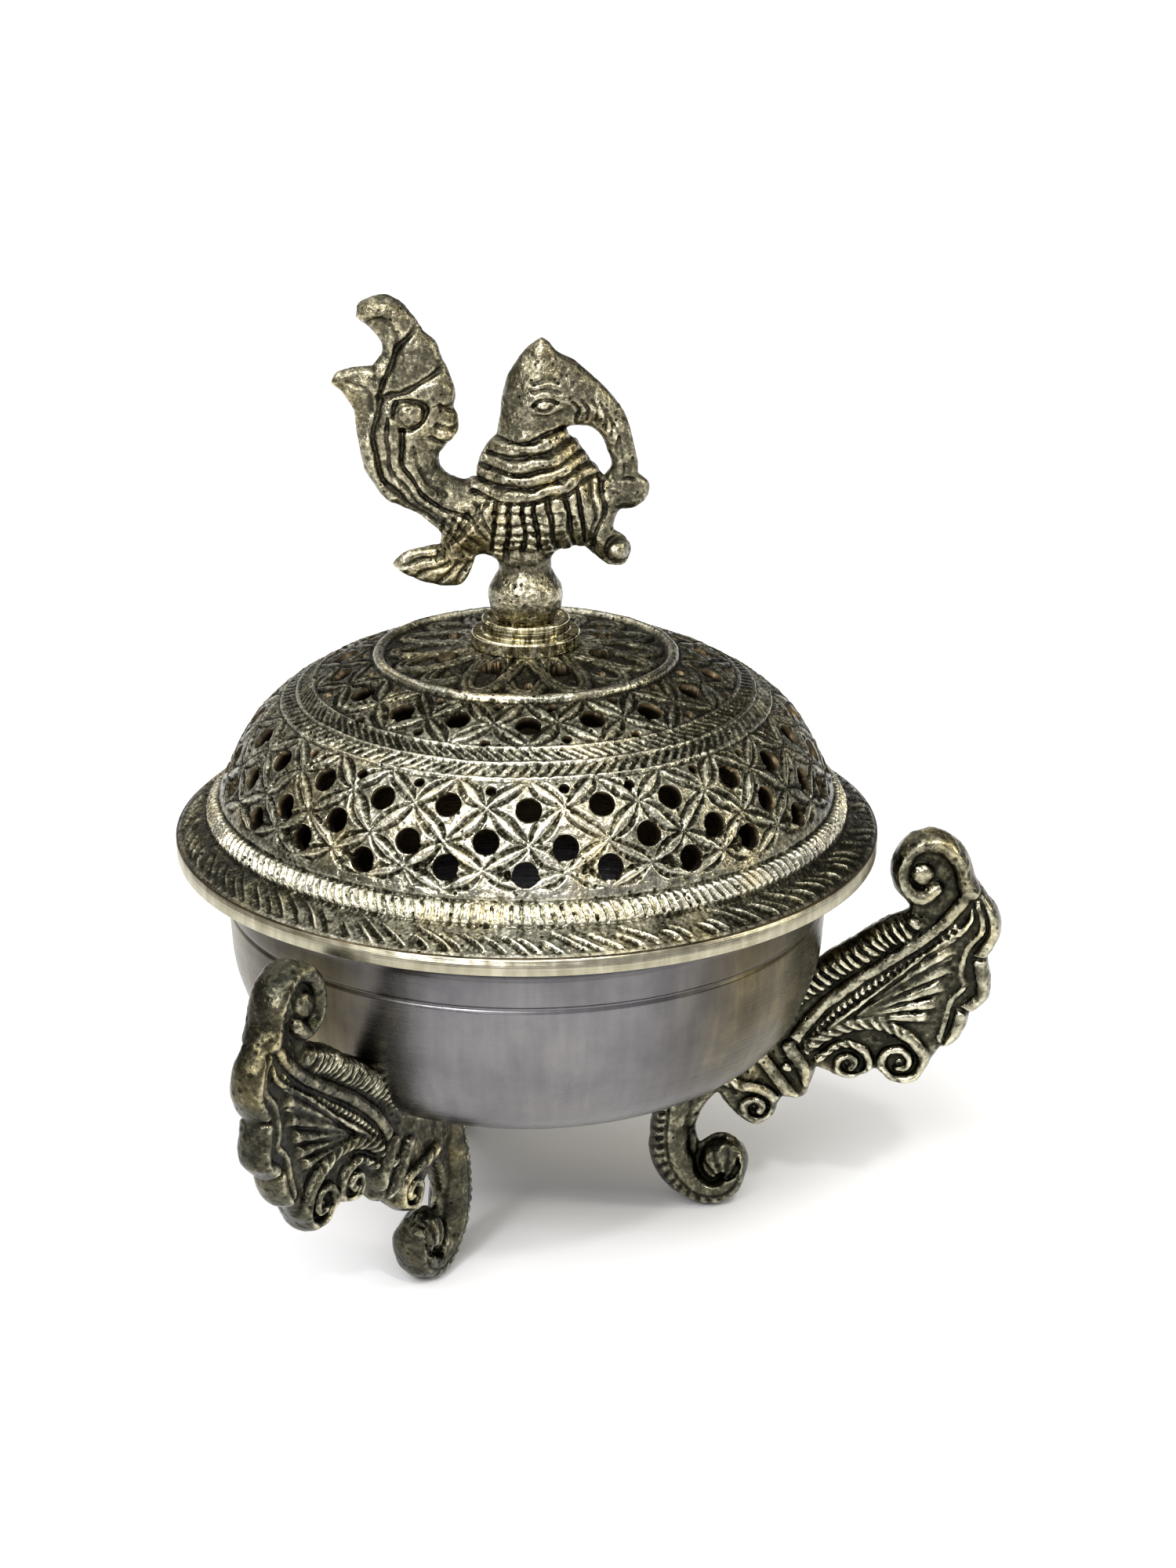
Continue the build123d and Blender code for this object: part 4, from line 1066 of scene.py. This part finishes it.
class Paint:
    """Short way to lay out one material's nodes."""

    def __init__(self, name):
        self.material = bpy.data.materials.new(name)
        self.material.use_nodes = True
        self.nodes = self.material.node_tree.nodes
        self.links = self.material.node_tree.links
        self.shader = self.nodes["Principled BSDF"]
        self.shader.inputs["Metallic"].default_value = 1.0
        self.coordinates = self.nodes.new("ShaderNodeTexCoord").outputs["Object"]

    def set(self, socket, value):
        if isinstance(value, bpy.types.NodeSocket):
            self.links.new(value, socket)
        elif value is not None:
            socket.default_value = value

    def noise(self, scale, detail=4.0, roughness=0.6, vector=None, distortion=0.0):
        n = self.nodes.new("ShaderNodeTexNoise")
        n.inputs["Scale"].default_value = scale
        n.inputs["Detail"].default_value = detail
        n.inputs["Roughness"].default_value = roughness
        n.inputs["Distortion"].default_value = distortion
        self.links.new(vector or self.coordinates, n.inputs["Vector"])
        return n.outputs["Fac"]

    def pits(self, scale, vector=None):
        n = self.nodes.new("ShaderNodeTexVoronoi")
        n.inputs["Scale"].default_value = scale
        self.links.new(vector or self.coordinates, n.inputs["Vector"])
        return n.outputs["Distance"]

    def math(self, operation, a, b=None, c=None, clamp=False):
        n = self.nodes.new("ShaderNodeMath")
        n.operation = operation
        n.use_clamp = clamp
        for socket, value in zip(n.inputs, (a, b, c)):
            self.set(socket, value)
        return n.outputs[0]

    def spread(self, value, low, high, to_low=0.0, to_high=1.0):
        n = self.nodes.new("ShaderNodeMapRange")
        for name, v in zip(("Value", "From Min", "From Max", "To Min", "To Max"), (value, low, high, to_low, to_high)):
            self.set(n.inputs[name], v)
        return n.outputs[0]

    def ramp(self, value, stops):
        n = self.nodes.new("ShaderNodeValToRGB")
        while len(n.color_ramp.elements) < len(stops):
            n.color_ramp.elements.new(0.5)
        for element, (place, colour) in zip(n.color_ramp.elements, stops):
            element.position = place
            element.color = (*colour, 1.0)
        self.links.new(value, n.inputs["Fac"])
        return n.outputs["Color"]

    def mix(self, factor, a, b):
        n = self.nodes.new("ShaderNodeMix")
        n.data_type = "RGBA"
        for socket, value in ((n.inputs[0], factor), (n.inputs[6], a), (n.inputs[7], b)):
            self.set(socket, (*value, 1.0) if isinstance(value, tuple) else value)
        return n.outputs[2]

    def relief(self):
        n = self.nodes.new("ShaderNodeAttribute")
        n.attribute_name = "relief"
        return n.outputs["Fac"]

    def bump(self, height, distance, strength=1.0, normal=None):
        n = self.nodes.new("ShaderNodeBump")
        n.inputs["Strength"].default_value = strength
        n.inputs["Distance"].default_value = distance
        self.links.new(height, n.inputs["Height"])
        if normal is not None:
            self.links.new(normal, n.inputs["Normal"])
        return n.outputs["Normal"]

    def turned(self, along, around):
        """Coordinates stretched around the axis, for lathe marks."""
        split = self.nodes.new("ShaderNodeSeparateXYZ")
        self.links.new(self.coordinates, split.inputs[0])
        radius = self.math("SQRT", self.math("ADD", self.math("MULTIPLY", split.outputs[0], split.outputs[0]),
                                             self.math("MULTIPLY", split.outputs[1], split.outputs[1])))
        angle = self.math("ARCTAN2", split.outputs[1], split.outputs[0])
        join = self.nodes.new("ShaderNodeCombineXYZ")
        self.links.new(self.math("MULTIPLY", radius, along), join.inputs[0])
        self.links.new(self.math("MULTIPLY", angle, around), join.inputs[1])
        self.links.new(self.math("MULTIPLY", split.outputs[2], along), join.inputs[2])
        return join.outputs[0]

    def finish(self, colour, roughness, normal=None):
        self.set(self.shader.inputs["Base Color"], colour)
        self.set(self.shader.inputs["Roughness"], roughness)
        if normal is not None:
            self.links.new(normal, self.shader.inputs["Normal"])
        return self.material


def cast_brass(name, stops, recess, crest, grain, speckle, *painted_light_by_place):
    """Oxidised casting: black in the recesses, worn bright on the high edges, with pits and grain, and painted light
    and shade set by place.
    """
    p = Paint(name)
    broad = p.noise(38, 3, 0.6)
    patch = p.noise(150, 4, 0.65)
    fine = p.noise(560, 5, 0.7)
    speck = p.noise(1700, 3, 0.7)
    wear_and_painted_light = p.math("MULTIPLY_ADD", p.relief(), 0.5, 0.5)
    wear_and_painted_light = p.math("ADD", wear_and_painted_light, p.math("MULTIPLY_ADD", broad, 0.3, -0.15))
    wear_and_painted_light = p.math("ADD", wear_and_painted_light, p.math("MULTIPLY_ADD", patch, 0.5, -0.25))
    wear_and_painted_light = p.math("ADD", wear_and_painted_light, p.math("MULTIPLY_ADD", fine, 0.72 * speckle, -0.36 * speckle))
    wear_and_painted_light = p.math("ADD", wear_and_painted_light, p.math("MULTIPLY_ADD", speck, 1.0 * speckle, -0.5 * speckle))
    pit = p.spread(p.pits(430), 0.05, 0.3)
    wear_and_painted_light = p.math("ADD", wear_and_painted_light, p.math("MULTIPLY_ADD", pit, 0.3, -0.26))
    pinhole = p.math("MULTIPLY", p.spread(p.pits(640), 0.1, 0.24, 1.0, 0.0), p.spread(p.noise(190), 0.46, 0.56))
    wear_and_painted_light = p.math("ADD", wear_and_painted_light, p.math("MULTIPLY", pinhole, -0.6 * speckle))
    # Painted light and shade: each extra entry (axis, both ways, from low, from high, to low, to high) lightens or
    # darkens the wear value by place along one axis.
    split = p.nodes.new("ShaderNodeSeparateXYZ")
    p.links.new(p.coordinates, split.inputs[0])
    for axis, both_ways, *stretch in painted_light_by_place:
        along = split.outputs[axis]
        along = p.math("ABSOLUTE", along) if both_ways else along
        wear_and_painted_light = p.math("ADD", wear_and_painted_light, p.spread(along, *stretch))
    wear_and_painted_light = p.math("MINIMUM", p.math("MAXIMUM", wear_and_painted_light, 0.0), 1.0)
    grey = p.ramp(wear_and_painted_light, stops)
    yellow = p.ramp(wear_and_painted_light, [(at, (min(1.25 * r, 1.0), 1.02 * g, 0.5 * b)) for at, (r, g, b) in stops])
    colour = p.mix(p.spread(p.noise(75, 3, 0.6), 0.5, 0.7, 0.0, 0.42), grey, yellow)
    rough = p.spread(wear_and_painted_light, 0.15, 0.85, recess, crest)
    rough = p.math("ADD", rough, p.math("MULTIPLY_ADD", patch, 0.24, -0.12), clamp=True)
    normal = p.bump(patch, 0.0009 * grain, 0.4)
    normal = p.bump(fine, 0.0004 * grain, 0.5, normal)
    normal = p.bump(pit, 0.0003 * grain, 0.5, normal)
    normal = p.bump(speck, 0.00018 * grain, 0.5, normal)
    normal = p.bump(pinhole, -0.0003, 0.6, normal)
    return p.finish(colour, rough, normal)


def radial_sheen(p, amount):
    """Stretches highlights across the lathe marks."""
    tangent = p.nodes.new("ShaderNodeTangent")
    tangent.direction_type = "RADIAL"
    tangent.axis = "Z"
    p.links.new(tangent.outputs[0], p.shader.inputs["Tangent"])
    p.shader.inputs["Anisotropic"].default_value = amount


def turned_brass():
    """Turned bowl: grey satin metal with lathe marks, painted shade towards the bottom and at the neck, and a brown,
    blotchy painted shade on its left and right sides.
    """
    p = Paint("turned_brass")
    lathe = p.noise(1.0, 3, 0.6, p.turned(5200, 1.6))
    wide = p.noise(1.0, 2, 0.5, p.turned(700, 0.8))
    blotch = p.noise(60, 4, 0.6)
    streak = p.noise(1.0, 3, 0.6, p.turned(60, 26))
    shade_blotches = p.noise(17, 3, 0.55)
    split = p.nodes.new("ShaderNodeSeparateXYZ")
    p.links.new(p.coordinates, split.inputs[0])
    # Painted shade: weight of a brown, blotchy darkening over the bowl's left and right sides, mixed in below.
    painted_shade_sides = p.spread(p.math("ABSOLUTE", p.math("SUBTRACT", split.outputs[0], 0.002)), 0.016, 0.042)
    tone = p.math("ADD", p.math("MULTIPLY", blotch, 0.75), p.math("MULTIPLY", streak, 0.25))
    height = split.outputs[2]
    # Painted shade: the tone darkens towards the bottom and at the neck under the lid's edge.
    neck = p.math("ADD", p.spread(height, 0.0, 0.014, -0.22, 0.0), p.spread(height, 0.033, 0.039, 0.0, -0.13))
    tone = p.math("ADD", tone, neck)
    satin_grey = p.ramp(tone, [(0.2, (0.088, 0.085, 0.090)), (0.5, (0.163, 0.157, 0.163)), (0.7, (0.22, 0.208, 0.203))])
    brown = p.ramp(tone, [(0.3, (0.024, 0.018, 0.007)), (0.5, (0.066, 0.052, 0.021)), (0.7, (0.20, 0.155, 0.062))])
    # Painted shade: brown blotches over the left and right sides.
    amount = p.math("MULTIPLY", painted_shade_sides, p.spread(p.math("ADD", shade_blotches, p.math("MULTIPLY", painted_shade_sides, 0.4)), 0.35, 0.75))
    colour = p.mix(p.math("MINIMUM", p.math("MULTIPLY", amount, 1.15), 0.9), satin_grey, brown)
    rough = p.spread(p.math("ADD", p.math("MULTIPLY", lathe, 0.5), p.math("MULTIPLY", blotch, 0.5)), 0.3, 0.7, 0.2, 0.34)
    normal = p.bump(lathe, 0.00008, 0.5)
    normal = p.bump(wide, 0.0002, 0.4, normal)
    normal = p.bump(p.noise(240, 4, 0.6), 0.0002, 0.14, normal)
    radial_sheen(p, 0.5)
    return p.finish(colour, rough, normal)


def edge_brass():
    """Turned edge band and underside of the lid."""
    p = Paint("edge_brass")
    lathe = p.noise(1.0, 3, 0.6, p.turned(4200, 1.6))
    wide = p.noise(1.0, 2, 0.5, p.turned(900, 0.8))
    blotch = p.noise(90, 4, 0.6)
    streak = p.noise(1.0, 3, 0.6, p.turned(90, 30))
    tone = p.math("ADD", p.math("MULTIPLY", blotch, 0.5), p.math("MULTIPLY", streak, 0.5))
    colour = p.ramp(tone, [(0.3, (0.24, 0.22, 0.15)), (0.5, (0.38, 0.355, 0.26)), (0.7, (0.56, 0.53, 0.41))])
    rough = p.spread(p.math("ADD", p.math("MULTIPLY", lathe, 0.5), p.math("MULTIPLY", blotch, 0.5)), 0.3, 0.7, 0.18, 0.36)
    normal = p.bump(lathe, 0.0001, 0.5)
    normal = p.bump(wide, 0.0003, 0.45, normal)
    radial_sheen(p, 0.4)
    return p.finish(colour, rough, normal)


def sooty_brass():
    """Inside of the lid, browned by smoke."""
    p = Paint("sooty_brass")
    soot = p.noise(85, 5, 0.7)
    colour = p.ramp(soot, [(0.3, (0.012, 0.010, 0.007)), (0.55, (0.06, 0.045, 0.026)), (0.75, (0.20, 0.145, 0.07))])
    return p.finish(colour, p.spread(soot, 0.3, 0.7, 0.6, 0.38), p.bump(p.noise(420, 4, 0.6), 0.0003, 0.4))


def polished_brass():
    p = Paint("polished_brass")
    lathe = p.noise(1.0, 2, 0.5, p.turned(3600, 1.0))
    blotch = p.noise(160, 3, 0.5)
    streak = p.noise(1.0, 3, 0.6, p.turned(200, 9))
    colour = p.ramp(p.math("ADD", p.math("MULTIPLY", blotch, 0.35), p.math("MULTIPLY", streak, 0.65)),
                    [(0.40, (0.10, 0.085, 0.045)), (0.5, (0.52, 0.47, 0.29)), (0.6, (0.90, 0.85, 0.66))])
    rough = p.spread(p.math("ADD", p.math("MULTIPLY", lathe, 0.5), p.math("MULTIPLY", blotch, 0.5)), 0.3, 0.7, 0.05, 0.13)
    return p.finish(colour, rough, p.bump(lathe, 0.00006, 0.3))


def cup_brass():
    p = Paint("cup_brass")
    spin = p.noise(1.0, 2, 0.5, p.turned(1500, 1.2))
    soot = p.noise(85, 5, 0.7)
    colour = p.ramp(soot, [(0.32, (0.10, 0.075, 0.045)), (0.5, (0.36, 0.26, 0.13)), (0.72, (0.62, 0.48, 0.24))])
    rough = p.spread(soot, 0.3, 0.7, 0.62, 0.28)
    return p.finish(colour, rough, p.bump(spin, 0.0002, 0.4))


def fastener_brass():
    p = Paint("fastener_brass")
    blotch = p.noise(700, 4, 0.6)
    colour = p.ramp(blotch, [(0.3, (0.48, 0.37, 0.18)), (0.7, (0.78, 0.64, 0.34))])
    rough = p.spread(blotch, 0.3, 0.7, 0.42, 0.24)
    return p.finish(colour, rough, p.bump(p.noise(2600, 3, 0.6), 0.0001, 0.3))


def floor_white():
    p = Paint("floor_white")
    p.shader.inputs["Metallic"].default_value = 0.0
    p.shader.inputs["Specular IOR Level"].default_value = 0.15
    tone = p.noise(3.0, 2, 0.5)
    colour = p.ramp(tone, [(0.3, (0.86, 0.86, 0.86)), (0.7, (0.89, 0.89, 0.89))])
    return p.finish(colour, p.spread(tone, 0.3, 0.7, 0.6, 0.7))


def paint(ob, material):
    ob.data.materials.clear()
    ob.data.materials.append(material)


# ---------------------------------------------------------------- stage, light and camera


def make_floor():
    size = 9000.0
    verts = [(-size, -size, GROUND), (size, -size, GROUND), (size, size, GROUND), (-size, size, GROUND)]
    floor = make_object("floor", np.array(verts), np.array([[0, 1, 2, 3]]))
    paint(floor, floor_white())


def area_light(name, place, aim, size, power, colour=(1, 1, 1)):
    data = bpy.data.lights.new(name, "AREA")
    data.shape = "RECTANGLE"
    data.size, data.size_y = size
    data.energy = power
    data.color = colour
    lamp = bpy.data.objects.new(name, data)
    lamp.location = place
    direction = Vector(aim) - Vector(place)
    lamp.rotation_euler = direction.to_track_quat("-Z", "Y").to_euler()
    bpy.context.scene.collection.objects.link(lamp)


def make_world():
    """Soft bright ceiling over darker walls, brightest at the front, with a pale horizon."""
    world = bpy.data.worlds.new("studio")
    bpy.context.scene.world = world
    world.use_nodes = True
    nodes = world.node_tree.nodes
    links = world.node_tree.links
    split = nodes.new("ShaderNodeSeparateXYZ")
    links.new(nodes.new("ShaderNodeTexCoord").outputs["Generated"], split.inputs[0])

    def spread(socket, low, high):
        n = nodes.new("ShaderNodeMapRange")
        n.interpolation_type = "SMOOTHSTEP"
        links.new(socket, n.inputs["Value"])
        n.inputs["From Min"].default_value = low
        n.inputs["From Max"].default_value = high
        return n.outputs[0]

    def blend(factor, a, b):
        n = nodes.new("ShaderNodeMix")
        n.data_type = "RGBA"
        links.new(factor, n.inputs[0])
        for socket, value in ((n.inputs[6], a), (n.inputs[7], b)):
            if isinstance(value, tuple):
                socket.default_value = (*value, 1.0)
            else:
                links.new(value, socket)
        return n.outputs[2]

    sides = blend(spread(split.outputs[0], -0.5, 0.5), (0.26, 0.23, 0.17), (0.07, 0.065, 0.045))
    walls = blend(spread(split.outputs[1], -0.75, -0.25), (0.62, 0.60, 0.66), sides)
    ceiling = blend(spread(split.outputs[0], 0.1, 0.6), (1.70, 1.71, 1.75), (0.8, 0.77, 0.68))
    ceiling = blend(spread(split.outputs[1], 0.25, 0.6), ceiling, (0.45, 0.45, 0.43))
    upper = blend(spread(split.outputs[2], 0.45, 0.72), walls, ceiling)
    horizon = blend(spread(split.outputs[2], 0.05, 0.09), (1.05, 1.05, 1.05), (0.62, 0.62, 0.62))
    colour = blend(spread(split.outputs[2], 0.10, 0.20), horizon, upper)
    links.new(colour, nodes["Background"].inputs["Color"])


def make_lights():
    make_world()
    sun = bpy.data.lights.new("daylight", "SUN")
    sun.energy = 1.3
    sun.angle = 0.6
    daylight = bpy.data.objects.new("daylight", sun)
    daylight.rotation_euler = (math.radians(38), math.radians(-18), 0)
    bpy.context.scene.collection.objects.link(daylight)
    area_light("key", (-0.45, -0.80, 0.80), (0, 0, 0.05), (0.30, 0.30), 6.0)
    area_light("sparkle", (0.30, -0.70, 1.05), (0, 0, 0.05), (0.10, 0.10), 3.0)
    area_light("side", (0.95, -0.15, 0.55), (0, 0, 0.05), (0.20, 0.50), 3.0, (1.0, 0.95, 0.82))
    area_light("back", (-0.5, 0.9, 0.8), (0, 0, 0.05), (0.8, 0.4), 1.5, (1.0, 0.96, 0.9))
    bpy.context.scene.view_settings.view_transform = "Standard"


def make_camera():
    """Camera 8 rim radii from the rim's centre, looking down at it by 21 degrees."""
    data = bpy.data.cameras.new("camera")
    data.lens = 64.0
    data.sensor_width = 36.0
    data.shift_x = 0.0391
    data.shift_y = 0.0221
    data.clip_end = 50
    camera = bpy.data.objects.new("camera", data)
    elevation = math.radians(21.04)
    distance = 8 * RIM_RADIUS * MM
    camera.location = (0, -distance * math.cos(elevation), (SEAM + 3) * MM + distance * math.sin(elevation))
    camera.rotation_mode = "QUATERNION"
    tilt = Quaternion((1, 0, 0), math.pi / 2 - elevation)
    roll = Quaternion((0, 0, 1), math.radians(-0.28))
    camera.rotation_quaternion = tilt @ roll
    bpy.context.scene.collection.objects.link(camera)
    bpy.context.scene.camera = camera


# ---------------------------------------------------------------- the object


def place(ob, body, materials, slot, *nodes):
    for material in materials:
        ob.data.materials.append(material)
    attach(ob, body)
    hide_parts(*nodes)


make_camera()
make_lights()
make_floor()

# Painted light: the last entry makes the bird lighter over the lower part of the ball under it.
bird_metal = cast_brass(
    "antique_brass_bird",
    [(0.06, (0.016, 0.015, 0.011)), (0.34, (0.045, 0.041, 0.029)), (0.6, (0.115, 0.105, 0.069)), (0.82, (0.36, 0.33, 0.23)),
     (1.0, (0.74, 0.69, 0.52))],
    0.44, 0.15, 1.0, 1.0, (2, False, 0.092, 0.098, 0.12, 0.02),
)
# Painted shade: the last two entries make the legs darker towards the foot and towards negative x, which takes in the
# left and rear legs.
leg_metal = cast_brass(
    "antique_brass_legs",
    [(0.06, (0.008, 0.008, 0.006)), (0.38, (0.024, 0.023, 0.016)), (0.62, (0.09, 0.085, 0.057)), (0.85, (0.42, 0.40, 0.29)),
     (1.0, (0.72, 0.69, 0.54))],
    0.36, 0.11, 0.65, 0.5, (2, False, -0.032, 0.012, -0.06, 0.0), (0, False, -0.045, 0.0, -0.13, 0.0),
)
# Painted light and shade: the last two entries make the lid lighter in the middle, darker towards the left and right
# sides, and darker on the top.
lid_metal = cast_brass(
    "pierced_brass",
    [(0.05, (0.008, 0.0075, 0.004)), (0.36, (0.032, 0.030, 0.019)), (0.64, (0.22, 0.21, 0.155)), (0.84, (0.52, 0.50, 0.40)),
     (1.0, (0.74, 0.71, 0.58))],
    0.42, 0.13, 0.6, 1.0, (0, True, 0.012, 0.052, 0.09, -0.19), (2, False, 0.073, 0.081, 0.0, -0.36),
)
turned = turned_brass()
edge = edge_brass()
sooty = sooty_brass()
polished = polished_brass()
fastener = fastener_brass()

place(make_bird(), "lid_assembly", [bird_metal], "antique_brass", "finial_bird")
place(make_collar(), "lid_assembly", [polished], "polished_brass", "finial_collar")
place(make_lid(), "lid_assembly", [lid_metal, edge, sooty], "pierced_brass", "lid")
place(make_bowl(), "base", [turned], "turned_brass", "bowl")
place(make_cup(), "cup", [cup_brass()], "cup_brass", "charcoal_cup")
for side, leg in make_legs().items():
    place(leg, "base", [leg_metal], "antique_brass", f"leg_{side}")
for side in LEG_ANGLES:
    for kind in ("leg_screw", "leg_washer"):
        paint(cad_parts[f"{kind}_{side}"], fastener)
for name in ("finial_stud", "finial_washer", "finial_nut"):
    paint(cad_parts[name], polished)
